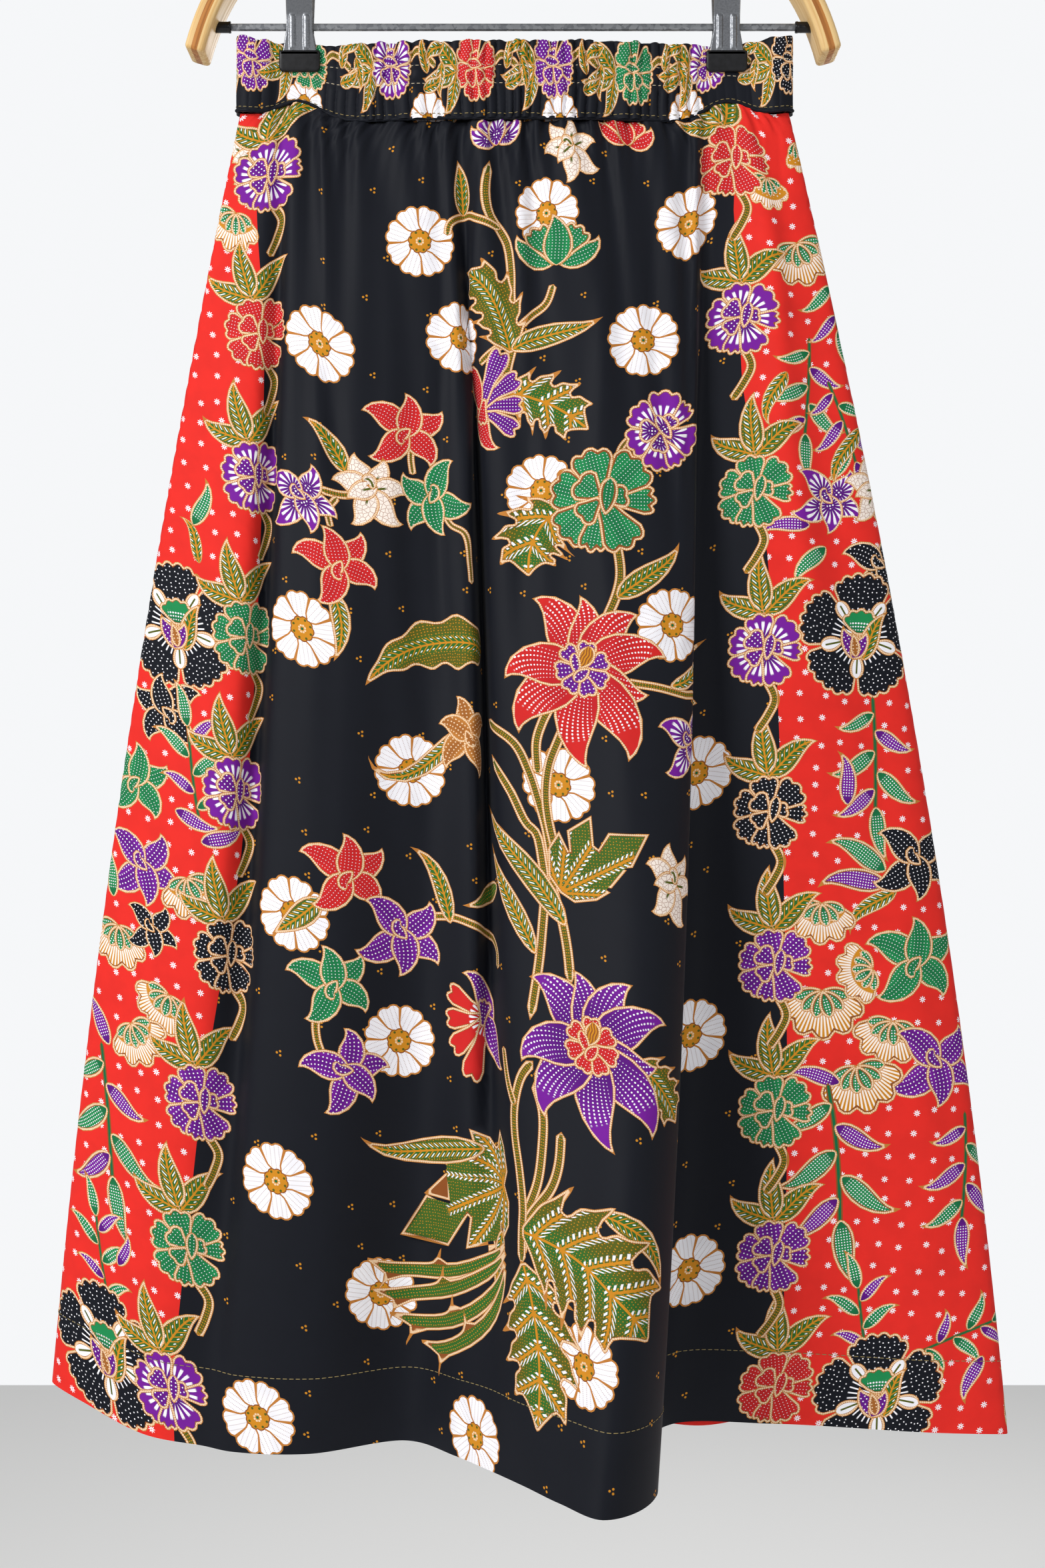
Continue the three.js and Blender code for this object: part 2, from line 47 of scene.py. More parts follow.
# Cloth, in millimetres, as its solids are made
GAP = 0.3
SEAM_OUT = GAP / 2
BAND_THICK = 2.6
CLIPPED_OUT = BAND_THICK + 0.35
SEAM_Z = -262.5
SEAM_RISE_AT_ENDS = 8
SEAM_RISE_AT_CLIPS = 13
SEAM_RISE_WIDTH = 21
SEAM_GAP = GAP + 0.1
BAND_TOP_Z = -209
BAND_TOP_RISE_AT_ENDS = 7
HEM_Z = -1155
MID_SHARE = 0.42
HALF_WAIST = 188
GATHER_WIDTH = 17
GATHER_OUT = 2.4
GATHER_FADE = 42
PLEAT_WIDTH = 41
PLEAT_OUT = 4.2
PLEAT_STARTS = 28
PLEAT_FADE = 150
PLEAT_SHIFT = 7
BAND_BOW = {"front": 15, "back": 14}
CLIP_X = 146
ROD_Z = -195

# The cloth's length down a panel from the seam to the hem, and the hem's turn-up
CLOTH_LONG = 905
HEM_DEEP = 50

# Camera, in millimetres, and the photograph's frame in pixels
CAMERA_X = 6.4
CAMERA_Z = -713.7
CAMERA_AWAY = 1500
FRAME_WIDE = 1568
FRAME_HIGH = 2352
FOCAL_PIXELS = 3282
SENSOR = 36

# How far from a pixel a place on the cloth is looked for, in turn, and how much deeper than the
# nearest place it may lie, in millimetres
SEARCH_PIXELS = (3, 8, 20, 60, 400)
SEARCH_DEPTH = 12

# Print, in millimetres
BEAD_LINE = 2.0
THIN_LINE = 0.8
PLAIN_LINE = 1.1
BEAD_PITCH = 1.45
PALM_PITCH = math.radians(26)
THREAD_PITCH = 0.42

# Each row is a crest or trough line that runs down a panel: its place across (x) and its depth
# away from the hanger's plane (out) at the waist, part way down and at the hem, and how far the
# hem is lifted there.
LEFT_SEAM = ("left seam", -187, -253.5, -316, SEAM_OUT, SEAM_OUT, SEAM_OUT, 34)
RIGHT_SEAM = ("right seam", 189, 268, 339, SEAM_OUT, SEAM_OUT, SEAM_OUT, -3)
FRONT_LINES = (
    LEFT_SEAM,
    ("left edge", -186.5, -252.5, -313, 3, 7, 10, 33),
    ("left side round", -180, -232, -288, 4.5, 17, 26, 24),
    ("border crest", -170, -184, -246, 5, 29, 42, 8),
    ("first fold, trough", -157, -170, -205, 3, 14, 48, 2),
    ("first fold, crest", -150, -160, -186, 4, 31, 54, 0),
    ("left belly", -113, -114, -135, 7.5, 40, 59, 0),
    ("left dip", -72, -60, -71, 10, 27, 36, 2),
    ("second fold, left crest", -49, -27, -38, 12, 37, 66, 1),
    ("second fold, trough", -38, -20, -16, 9.5, 17, 92, 0),
    ("second fold, right crest", -29, -12, 8, 12.5, 38, 120, -2),
    ("centre slope", 12, 42, 30, 13, 56, 144, -5),
    ("centre crest", 62, 89, 56, 11.5, 64, 165, -8),
    ("centre flank", 122, 119, 90, 6, 50, 128, -6),
    ("third fold, trough", 133, 118, 88, 3.5, 24, 52, 0),
    ("third fold, foot", 139, 132, 106, 4, 19, 11, 5),
    ("right flat", 156, 186, 178, 4.5, 25, 8, 5),
    ("right side round", 180, 238, 284, 4.5, 18, 15, 1),
    ("right edge", 188.5, 266, 336, 3, 7, 8, -2),
    RIGHT_SEAM,
)
BACK_LINES = (
    LEFT_SEAM,
    ("left edge", -186.5, -252.5, -313, 3, 6, 8, 33),
    ("first crest", -160, -205, -246, 5, 22, 38, 14),
    ("first trough", -118, -140, -164, 6.5, 7, 5, 4),
    ("second crest", -74, -84, -92, 10, 25, 46, 0),
    ("second trough", -28, -22, -14, 12, 8, 7, 0),
    ("third crest", 20, 38, 60, 12, 26, 44, -2),
    ("third trough", 66, 96, 128, 10, 8, 6, 0),
    ("fourth crest", 108, 152, 196, 6.5, 23, 42, 0),
    ("fourth trough", 146, 204, 262, 4, 9, 9, 0),
    ("right side round", 178, 246, 310, 5, 15, 22, -1),
    ("right edge", 188.5, 266, 336, 3, 6, 8, -2),
    RIGHT_SEAM,
)


def down_cloth(waist, mid, hem, share):
    """A quadratic through values at the waist, part way down and at the hem."""
    at_waist = (share - MID_SHARE) * (share - 1) / MID_SHARE
    at_mid = share * (share - 1) / (MID_SHARE * (MID_SHARE - 1))
    at_hem = share * (share - MID_SHARE) / (1 - MID_SHARE)
    return waist * at_waist + mid * at_mid + hem * at_hem


def bump(distance, width):
    return np.exp(-((distance / width) ** 2))


def near_clip(x, width):
    return bump(np.abs(x) - CLIP_X, width)


def end_share(x):
    return np.minimum(1, np.abs(x) / HALF_WAIST) ** 6


def seam_z(x):
    ends = SEAM_RISE_AT_ENDS * end_share(x)
    return SEAM_Z + ends + SEAM_RISE_AT_CLIPS * near_clip(x, SEAM_RISE_WIDTH)


def band_top_z(x):
    return BAND_TOP_Z + BAND_TOP_RISE_AT_ENDS * end_share(x)


def wave(x, width):
    turns = x / width + 0.3 * np.sin(x / 23) + 0.2 * np.sin(x / 9.5)
    return np.sin(2 * np.pi * turns)


def gather_out(waist_x, below):
    small = GATHER_OUT * np.exp(-below / GATHER_FADE)
    large = PLEAT_OUT * (1 - np.exp(-below / PLEAT_STARTS)) * np.exp(-below / PLEAT_FADE)
    at_seam = 1 - end_share(waist_x)
    return at_seam * (small * wave(waist_x, GATHER_WIDTH) + large * wave(waist_x + PLEAT_SHIFT, PLEAT_WIDTH))


def through(before, start, end, after, share):
    """A centripetal Catmull-Rom curve from start to end, at shares of the way."""

    def knot(a, b):
        return np.maximum(((a - b) ** 2).sum(-1, keepdims=True), 1e-12) ** 0.25

    d0, d1, d2 = knot(before, start), knot(start, end), knot(end, after)
    leave = ((start - before) / d0 - (end - before) / (d0 + d1) + (end - start) / d1) * d1
    arrive = ((end - start) / d1 - (after - start) / (d1 + d2) + (after - end) / d2) * d1
    w = share[:, None]
    second = -3 * start + 3 * end - 2 * leave - arrive
    third = 2 * start - 2 * end + leave + arrive
    return start + leave * w + second * w**2 + third * w**3


def normed(vectors, least=0.0):
    """Vectors with a length of one. A least length keeps empty ones from dividing by nothing."""
    return vectors / (np.linalg.norm(vectors, axis=1, keepdims=True) + least)


def reach_along(line):
    """How far along a line each of its points is."""
    return np.concatenate([[0], np.cumsum(np.linalg.norm(np.diff(line, axis=0), axis=1))])


def face_normals(point, s, t, s_ends, t_ends, side, s_step, t_step):
    """Outward normals of a surface given by a function of two coordinates, each with its ends."""
    right = point(np.minimum(s + s_step, s_ends[1]), t)
    left = point(np.maximum(s - s_step, s_ends[0]), t)
    low = point(s, np.minimum(t + t_step, t_ends[1]))
    high = point(s, np.maximum(t - t_step, t_ends[0]))
    n = np.cross(right - left, low - high) * side
    return n / np.maximum(np.linalg.norm(n, axis=1, keepdims=True), TINY)


def half_at(half_width, t):
    return half_width(np.array([float(t)]))[0]


def padded(rows):
    """A table with a row added before its first and after its last, in line with them."""
    return np.vstack([2 * rows[0] - rows[1], rows, 2 * rows[-1] - rows[-2]])


def along_curve(points, place):
    """Points on the smooth curve through a list of points, by place counted in points."""
    points = padded(np.asarray(points, float))
    i = np.clip(np.floor(place).astype(int), 0, len(points) - 4)
    return through(points[i], points[i + 1], points[i + 2], points[i + 3], place - i)


PLACE_STEPS = 1400
FLAT_ROWS = 150
WAIST_PUCKERS = 7.4
WAIST_PUCKER_OUT = 0.75
WAIST_PUCKER_FADE = 17


class Panel:
    """One side of the skirt. Flat places on its cloth are s, across from its middle, and t,
    down from the waist seam."""

    def __init__(self, rows, side, creases):
        self.side = side
        self.creases = creases
        self.table = np.array([row[1:] for row in rows], float)
        self.rows = padded(self.table)
        last = len(rows) - 1
        self.places = np.linspace(0, last, PLACE_STEPS)
        self.waist_x = self.across(self.places, np.zeros(PLACE_STEPS))[:, 0]
        hem = self.table[:, [2, 6]]
        self.rise = along_curve(hem, self.places)[:, 1]
        flat = []
        for share in np.linspace(0, 1, FLAT_ROWS):
            line = self.on_solid(self.places, np.full(PLACE_STEPS, share))[:, :2]
            length = reach_along(line)
            flat.append(length - length[-1] / 2)
        self.flat = np.array(flat)

    def across(self, place, share):
        i = np.clip(np.floor(place).astype(int), 0, len(self.rows) - 4)
        points = []
        for k in range(4):
            row = self.rows[i + k]
            x = down_cloth(row[:, 0], row[:, 1], row[:, 2], share)
            out = down_cloth(row[:, 3], row[:, 4], row[:, 5], share)
            points.append(np.stack([x, out], 1))
        return through(*points, place - i)

    def on_solid(self, place, share):
        p = self.across(place, share)
        waist_x = np.interp(place, self.places, self.waist_x)
        top = seam_z(waist_x) - SEAM_GAP
        z = top + (HEM_Z + np.interp(place, self.places, self.rise) - top) * share
        out = p[:, 1] + gather_out(waist_x, top - z)
        return np.stack([p[:, 0], self.side * out, z], 1)

    def half_width(self, t):
        row = np.clip(t / CLOTH_LONG, 0, 1) * (FLAT_ROWS - 1)
        return np.interp(row, np.arange(FLAT_ROWS), self.flat[:, -1])

    def place_at(self, s, t):
        row = np.clip(t / CLOTH_LONG, 0, 1) * (FLAT_ROWS - 1)
        below = np.minimum(row.astype(int), FLAT_ROWS - 2)
        place = np.empty(len(s))
        for j in np.unique(below):
            here = below == j
            w = row[here] - j
            upper = np.interp(s[here], self.flat[j], self.places)
            lower = np.interp(s[here], self.flat[j + 1], self.places)
            place[here] = upper * (1 - w) + lower * w
        return place

    def solid_normal(self, place, share):
        """The outward normal of the solid's face."""
        ends = (0, self.places[-1]), (0, 1)
        return face_normals(self.on_solid, place, share, *ends, self.side, 0.02, 0.002)

    def detail(self, s, t):
        """How far the cloth stands proud of its solid: small gathers at the seam, and creases."""
        pucker = np.sin(2 * np.pi * (s / WAIST_PUCKERS + 0.35 * np.sin(s / 11) + t / 60))
        at_edges = np.clip((self.half_width(t) - np.abs(s)) / 25, 0, 1)
        out = WAIST_PUCKER_OUT * np.exp(-t / WAIST_PUCKER_FADE) * pucker * at_edges
        for _, s_high, s_low, t_high, t_low, width, depth in self.creases:
            share = np.clip((t - t_high) / (t_low - t_high), 0, 1)
            middle = s_high + (s_low - s_high) * share + 3 * np.sin(t / 47 + s_high)
            fade = np.sin(np.pi * share) ** 0.7
            out = out + depth * fade * bump(s - middle, width * (0.6 + 0.4 * share))
        return out

    def point(self, s, t):
        place, share = self.place_at(s, t), np.clip(t / CLOTH_LONG, 0, 1)
        base = self.on_solid(place, share)
        return base + self.solid_normal(place, share) * self.detail(s, t)[:, None]

    def normal(self, s, t):
        half = self.half_width(t)
        return face_normals(self.point, s, t, (-half, half), (0, CLOTH_LONG), self.side, 0.8, 1.6)


# Soft creases across the panels: places across at their two ends, how far down they start and
# end, their width and how far they stand out, or in where negative.
FRONT_CREASES = (
    ("waist to belly", -150, -130, 20, 330, 9, -2.7),
    ("belly", -96, -112, 60, 560, 14, 3.1),
    ("beside dip", -58, -78, 30, 420, 8, -2.9),
    ("into dip", -20, -52, 15, 300, 8, 2.5),
    ("centre left", 22, 10, 25, 380, 9, -2.7),
    ("centre", 62, 74, 30, 500, 11, 2.5),
    ("centre right", 96, 120, 40, 360, 8, -2.4),
    ("right of third fold", 170, 250, 10, 420, 12, 3.1),
    ("right border", 200, 330, 60, 620, 16, -2.7),
    ("low left", -300, -330, 420, 860, 20, 2.7),
    ("low right", 300, 360, 430, 880, 22, 3.1),
)
BACK_CREASES = (
    ("far left", -190, -300, 60, 620, 16, -2.7),
    ("left", -120, -150, 30, 400, 10, 2.7),
    ("left of middle", -60, -72, 20, 330, 8, -2.9),
    ("middle", 4, 10, 20, 420, 9, 2.7),
    ("right of middle", 66, 88, 40, 360, 9, -2.5),
    ("right", 130, 190, 30, 500, 12, 2.7),
)

front = Panel(FRONT_LINES, -1, FRONT_CREASES)
back = Panel(BACK_LINES, 1, BACK_CREASES)


def seen_from_camera(points):
    """Pixels of the photograph's frame, and the distance from the camera, of points in mm."""
    away = CAMERA_AWAY + points[:, 1]
    px = FRAME_WIDE / 2 + FOCAL_PIXELS * (points[:, 0] - CAMERA_X) / away
    py = FRAME_HIGH / 2 + FOCAL_PIXELS * (CAMERA_Z - points[:, 2]) / away
    return px, py, away


class FrontView:
    """Finds the flat place on the front panel that shows at a pixel of the photograph."""

    def __init__(self, panel):
        t = np.linspace(0, CLOTH_LONG, 420)
        s = np.linspace(-1, 1, 640)
        tt, ss = np.meshgrid(t, s, indexing="ij")
        self.t = tt.ravel()
        self.s = (ss * panel.half_width(tt)).ravel()
        place, share = panel.place_at(self.s, self.t), self.t / CLOTH_LONG
        self.px, self.py, self.away = seen_from_camera(panel.on_solid(place, share))

    def place(self, px, py):
        near = (self.px - px) ** 2 + (self.py - py) ** 2
        for reach in SEARCH_PIXELS:
            found = np.flatnonzero(near < reach**2)
            if len(found):
                depth = self.away[found]
                front_most = found[depth < depth.min() + SEARCH_DEPTH]
                best = front_most[np.argmin(near[front_most])]
                return self.s[best], self.t[best]
        return 0.0, 0.0


photo = FrontView(front)


# Print shapes. A part is one patch of print: its outline, the inside of its drawn line, and the
# centreline that its dots and veins follow, all in flat millimetres with y up until it is put.
@dataclass
class Part:
    outer: np.ndarray
    inner: np.ndarray
    fill: str
    line: str
    line_width: float
    spine: np.ndarray
    unit: float = 1.0


LINE_WIDTHS = {"beads": BEAD_LINE, "thin": THIN_LINE, "plain": PLAIN_LINE}
PROFILES = {
    "flame": lambda t: t**0.7 * (1 - t) ** 1.15,
    "drop": lambda t: t**0.75 * (1 - t) ** 0.5,
    "leaf": lambda t: t**0.6 * (1 - t) ** 1.15,
    "lobed": lambda t: t**0.5 * (1 - t) ** 1.1 * (1 + 0.14 * np.sin(28 * t)),
    "ribbon": lambda t: np.clip(np.minimum(t, 1 - t) * 40, 0, 1),
}
PROFILE_POINTS = {"lobed": 30, "ribbon": 26}
DENSE = 90


def nearest_on(points, line, closed):
    """For each point, how far along a line its nearest place is, and how far to its left."""
    start, end = line, np.roll(line, -1, axis=0)
    if not closed:
        start, end = start[:-1], end[:-1]
    step = end - start
    size = np.maximum(np.linalg.norm(step, axis=1), 1e-9)
    before = np.concatenate([[0], np.cumsum(size)[:-1]])
    rel = points[:, None, :] - start[None]
    share = np.clip((rel * step).sum(-1) / size**2, 0, 1)
    gap = rel - share[..., None] * step
    distance = np.linalg.norm(gap, axis=-1)
    k = np.argmin(distance, axis=1)
    pick = np.arange(len(points)), k
    left = step[k, 0] * rel[pick][:, 1] - step[k, 1] * rel[pick][:, 0]
    signed = distance[pick] * np.sign(left)
    return before[k] + share[pick] * size[k], signed, size.sum()


def curl_line(length, curl, count):
    """A centreline from the origin along +x that bends by about curl radians, mostly at its tip."""
    t = np.linspace(0, 1, count)
    heading = curl * (2.4 * t**2.3 - 0.85 * t)
    step = length / (count - 1)
    x = np.concatenate([[0], np.cumsum(np.cos(heading[:-1]) * step)])
    y = np.concatenate([[0], np.cumsum(np.sin(heading[:-1]) * step)])
    return np.stack([x, y], 1)


def both_sides(line, half):
    """A closed outline at half-widths to both sides of a line."""
    along = normed(np.gradient(line, axis=0), TINY)
    side = np.stack([-along[:, 1], along[:, 0]], 1) * half[:, None]
    outline = np.vstack([line + side, (line - side)[::-1]])
    keep = np.linalg.norm(outline - np.roll(outline, 1, axis=0), axis=1) > 0.12
    return outline[keep]


def strip(line, width, shape, fill, beads="beads"):
    """A part of a given width about a line, such as a petal, a leaf or a stem."""
    line_width = LINE_WIDTHS[beads]
    count = PROFILE_POINTS.get(shape, 11)
    place = np.linspace(0, len(line) - 1, DENSE)
    dense = along_curve(line, place)
    t = np.linspace(0, 1, DENSE)
    half = PROFILES[shape](t)
    half *= width / 2 / half.max()
    eased = 0.5 - 0.5 * np.cos(np.pi * np.linspace(0, 1, count))
    spread = np.linspace(0, 1, count) if shape in PROFILE_POINTS else eased

    def outline(first, last, cut):
        at = first + (last - first) * spread
        half_here = np.maximum(np.interp(at, t, half) - cut, 0)
        middle = np.stack([np.interp(at, t, dense[:, k]) for k in (0, 1)], 1)
        return both_sides(middle, half_here)

    wide = np.flatnonzero(half > line_width + 0.05)
    inner = np.zeros((0, 2))
    if len(wide) > 6:
        inner = outline(t[wide[0]], t[wide[-1]], line_width)
    return Part(outline(0, 1, 0), inner, fill, beads, line_width, dense[::6])


def turned(points, angle, at):
    turn = math.radians(angle)
    x, y = points.T
    cos, sin = math.cos(turn), math.sin(turn)
    return np.stack([x * cos - y * sin, x * sin + y * cos], 1) + np.array(at)


def petal(angle, length, width, curl, shape, fill, start=0.0, at=(0.0, 0.0)):
    """A petal or leaf that leaves a centre at an angle in degrees."""
    middle = curl_line(length, curl, 9)
    middle[:, 0] += start
    return strip(turned(middle, angle, at), width, shape, fill)


def inset(outline, width):
    """An outline moved inwards by a width, with its corners kept sharp up to a limit."""
    step = normed(np.roll(outline, -1, axis=0) - outline, TINY)
    left = np.stack([-step[:, 1], step[:, 0]], 1)
    both = normed(left + np.roll(left, 1, axis=0), TINY)
    stretch = np.clip((both * left).sum(1), 0.4, 1)
    x, y = outline.T
    way = 1 if (x * np.roll(y, -1) - y * np.roll(x, -1)).sum() > 0 else -1
    inner = outline + both * (way * width / stretch)[:, None]
    reach = np.abs(nearest_on(inner, outline, True)[1])
    return inner[reach > 0.9 * width]


def toothed(teeth):
    """The outline of a leaf with pointed teeth, along and across its centreline."""
    edge = [(0.0, 0.05)]
    for k in range(teeth):
        for share, out in ((0.12, 0.68), (0.4, 0.9), (0.72, 1.0), (1.14, 1.26), (0.98, 0.74)):
            along = 0.04 + 0.8 * (k + share) / teeth
            edge.append((along, out * 1.25 * along**0.5 * (1 - along) ** 0.55))
    edge.append((0.93, 0.12))
    return np.array(edge + [(1.0, 0.0)] + [(x, -y) for x, y in reversed(edge)])


# A narrow leaf with a thorn on one side and a forked tip, along and across its centreline
THORNED = np.array([
    (0, 0.15), (0.25, 0.42), (0.5, 0.5), (0.8, 0.5), (0.93, 1.5), (0.9, 0.3), (1.0, -0.6), (0.87, -0.5),
    (0.66, -0.5), (0.6, -0.6), (0.51, -1.35), (0.49, -0.5), (0.22, -0.4), (0, -0.15),
])


def leaf_line(foot, tip, bend, flick):
    """A centreline from a foot to a tip that bends all along and more towards its tip, in radians."""
    foot, tip = np.array(foot), np.array(tip)
    t = np.linspace(0, 1, DENSE)
    heading = bend * t + flick * t**3
    steps = np.stack([np.cos(heading), np.sin(heading)], 1)
    line = np.vstack([[(0, 0)], np.cumsum(steps[:-1], axis=0)])
    end, reach = line[-1], tip - foot
    turn = math.atan2(reach[1], reach[0]) - math.atan2(end[1], end[0])
    return turned(line * (np.hypot(*reach) / np.hypot(*end)), math.degrees(turn), foot)


def shaped(middle, width, outline, fill):
    """A leaf whose outline is given along and across its centreline."""
    along = normed(np.gradient(middle, axis=0))
    t = np.linspace(0, 1, DENSE)
    outline = along_curve(outline, np.linspace(0, len(outline) - 1, 3 * len(outline) - 2))
    x, y, dx, dy = [np.interp(outline[:, 0], t, values) for values in (*middle.T, *along.T)]
    across = outline[:, 1] * width
    outer = np.stack([x - dy * across, y + dx * across], 1)
    return Part(outer, inset(outer, BEAD_LINE), fill, "beads", BEAD_LINE, middle[::6])


# Two palm-shaped leaves: the pixels of the foot of each and of the tips of its lobes, in turn
PALM_LEFT = ((757, 1779), ((750, 1693), (704, 1692), (662, 1742), (637, 1787), (600, 1853), (698, 1873),
                           (733, 1878), (757, 1856)))
PALM_RIGHT = ((840, 1340), ((917, 1337), (940, 1305), (974, 1250), (887, 1223), (838, 1245)))
PALM_NOTCH = 0.72
PALM_SHOULDER = 0.7
PALM_LOBE = 0.19
PALM_FOOT = 0.25


def palm_leaf(foot, tips):
    """A leaf cut into pointed lobes that spread from its foot."""
    reach = tips - foot
    side = np.stack([-reach[:, 1], reach[:, 0]], 1) * PALM_LOBE
    outline = [foot + PALM_FOOT * reach[0] - side[0]]
    for k, out in enumerate(reach):
        outline += [foot + PALM_SHOULDER * out - side[k] * 0.8, foot + out,
                    foot + PALM_SHOULDER * out + side[k]]
        if k + 1 < len(reach):
            between = (out + reach[k + 1]) / 2
            span = min(np.linalg.norm(out), np.linalg.norm(reach[k + 1]))
            outline.append(foot + between * (PALM_NOTCH * span / np.linalg.norm(between)))
    outline += [foot + PALM_FOOT * reach[-1] + side[-1], foot]
    outline = np.array(outline)
    return Part(outline, inset(outline, BEAD_LINE), "leaf palm", "beads", BEAD_LINE, np.array([foot]))


def fan(angle, length, spread, fill, line="beads", bumps=3, at=(0.0, 0.0), unit=1.0, foot=0.12,
        depth=0.08, shoulder=0.13):
    """A petal that opens from a narrow foot to a rim of rounded lobes."""
    side = np.linspace(-1, 1, bumps * 4 + 1)
    lobe = np.abs(np.sin(np.pi * bumps * (side + 1) / 2)) ** 0.7
    reach = length * (1 - shoulder * np.abs(side) ** 3) * (1 - depth * (1 - lobe))
    way = np.radians(spread) * side
    rim = np.stack([reach * np.cos(way), reach * np.sin(way)], 1)
    low = np.radians(spread) * 1.15
    half = length * foot
    waist = length * 0.45
    x, y = waist * math.cos(low), waist * math.sin(low)
    outline = np.vstack([rim, [(x, y), (0, half), (0, -half), (x, -y)]])
    spine = np.array([(-length * 0.1, 0), (length, 0)], float)
    width = LINE_WIDTHS[line]
    inner = inset(outline, width)
    return Part(turned(outline, angle, at), turned(inner, angle, at), fill, line, width,
                turned(spine, angle, at), unit)


def disc(radius, fill, line, lobes, depth, count):
    """A round part with lobes round its edge. Its print is laid out about its centre."""
    line_width = LINE_WIDTHS[line]
    angle = np.linspace(0, 2 * np.pi, count, endpoint=False)
    reach = radius * (1 - depth + depth * np.abs(np.cos(angle * lobes / 2)) ** 0.6)
    way = np.stack([np.cos(angle), np.sin(angle)], 1)
    outer = way * reach[:, None]
    inner = way * (reach - line_width)[:, None]
    return Part(outer, inner, fill, line, line_width, np.zeros((1, 2)))


def remade(parts, put):
    """Parts whose points are put through a function."""

    def each(points):
        return put(points) if len(points) else points

    return [replace(p, outer=each(p.outer), inner=each(p.inner), spine=each(p.spine)) for p in parts]


def moved(parts, s, t, turn=0.0, scale=1.0, squeeze=1.0):
    """Parts put at a flat place, turned by degrees, with their y up the cloth."""
    grow = np.array([scale * squeeze, -scale])
    return remade(parts, lambda points: turned(points, turn, (0, 0)) * grow + np.array([s, t]))


# Flowers. Each returns its parts, those underneath first, about its own centre.
def white_flower():
    parts = [fan(45 * k + 15, 25.5, 22.5, "white lines", "plain", 2, depth=0.06, foot=0.2, shoulder=0.05)
             for k in range(8)]
    return parts + [disc(8.7, "heart", "thin", 9, 0.1, 36)]


# The petals of each kind of flower: angle, length, width and how far it curls, or for a petal with
# a scalloped rim its angle, length and spread
LILY = ((146, 36, 20, 0.9), (22, 29, 18, 0.8), (-52, 30, 19, -1.0), (-138, 36, 20, -0.9))
IVORY = ((117, 28, 18, -0.7), (58, 25, 15, 0.7), (160, 28, 17, 0.9), (0, 28, 16, -0.9), (-60, 34, 18, 1.0),
         (-112, 30, 18, -0.9))
GREAT = ((114, 61, 31, 0.9), (83, 51, 26, 0.6), (51, 56, 29, -0.7), (18, 61, 29, -0.9), (-28, 48, 26, 0.6),
         (-56, 71, 32, -0.9), (-99, 70, 31, 0.7), (213, 68, 32, 0.9), (176, 59, 30, 1.0))
ROSE = ((165, 26, 31), (222, 28, 29), (258, 27, 20), (0, 27, 20), (300, 28, 29), (45, 29, 30), (104, 26, 31))
ROSE_INNER = ((140, 16, 42), (222, 15, 36), (10, 14, 34))
FRINGE = ((150, 38), (182, 37), (214, 40), (246, 46))


def lily(fill, scale=1.0):
    """Four pointed petals round a standing one with a curled foot."""
    parts = [petal(a, long, wide, curl, "flame", fill) for a, long, wide, curl in LILY]
    parts.append(petal(78, 33, 19, 0.8, "flame", fill, at=(-2, -5)))
    parts.append(petal(225, 15, 9, 1.8, "drop", fill, at=(2, 2)))
    return moved(parts, 0, 0, 0, scale) if scale != 1.0 else parts


def ivory_flower():
    parts = [petal(a, long, wide, curl, "flame", "ivory") for a, long, wide, curl in IVORY]
    parts.append(petal(196, 24, 15, 0.5, "flame", "ivory", at=(5, 2)))
    parts.append(petal(120, 12, 9, 2.4, "drop", "ivory", at=(3, 0)))
    return parts


def great_flower(outer, inner, pistil):
    """A large flower: long pointed petals round a heart of small scalloped ones."""
    parts = [petal(a, long, wide, curl, "flame", outer) for a, long, wide, curl in GREAT]
    parts += [fan(a, 20, 27, inner, bumps=2) for a in (20, 75, 130, 185, 232, 280, 330)]
    parts.append(petal(60, 17, 12, 0.5, "drop", pistil, at=(-2, 0)))
    parts.append(petal(100, 17, 8, -0.3, "drop", inner, at=(-3, -6)))
    parts.append(petal(215, 14, 9, 0.4, "drop", inner, at=(5, 0)))
    return parts


def rosette(fill, middle=None):
    """A round flower of overlapping scalloped petals, with a bud in front."""
    middle = middle or fill
    parts = [fan(a, long, spread, fill) for a, long, spread in ROSE]
    parts += [fan(a, long, spread, middle, bumps=2) for a, long, spread in ROSE_INNER]
    parts.append(petal(82, 19, 9, 0.0, "drop", middle, at=(2, -8)))
    return parts


def guard(fill, middle=None):
    """A guard flower with the three leaves over it and the stem under it."""
    foot = (-2, 24)
    return [
        strip(((4, -22), (10, -34), (6, -46), (-1, -58)), 7, "ribbon", "stem"),
        petal(160, 38, 17, -0.7, "leaf", "leaf white", at=foot),
        petal(48, 44, 18, -0.6, "leaf", "leaf dots", at=foot),
        petal(100, 44, 18, -0.4, "leaf", "leaf white", at=(-3, 26)),
        *rosette(fill, middle),
    ]


def tulip(fill):
    """A cupped flower with two petals that curl out."""
    return [
        petal(158, 32, 16, -1.0, "flame", fill),
        petal(22, 32, 16, 1.0, "flame", fill),
        fan(125, 27, 24, fill),
        fan(55, 27, 24, fill),
        petal(90, 33, 19, 0.5, "flame", fill, at=(0, -2)),
    ]


def side_flower(outer, fringe):
    """A flower seen from the side: small petals on its left and a long curled one."""
    parts = [fan(a, long, 15, fringe, bumps=2, unit=0.8) for a, long in FRINGE]
    parts.append(petal(112, 48, 19, 1.1, "flame", outer, at=(6, -6)))
    parts.append(petal(-70, 42, 18, 1.0, "flame", outer, at=(2, 2)))
    parts.append(fan(75, 20, 28, outer, at=(-4, -6)))
    return parts


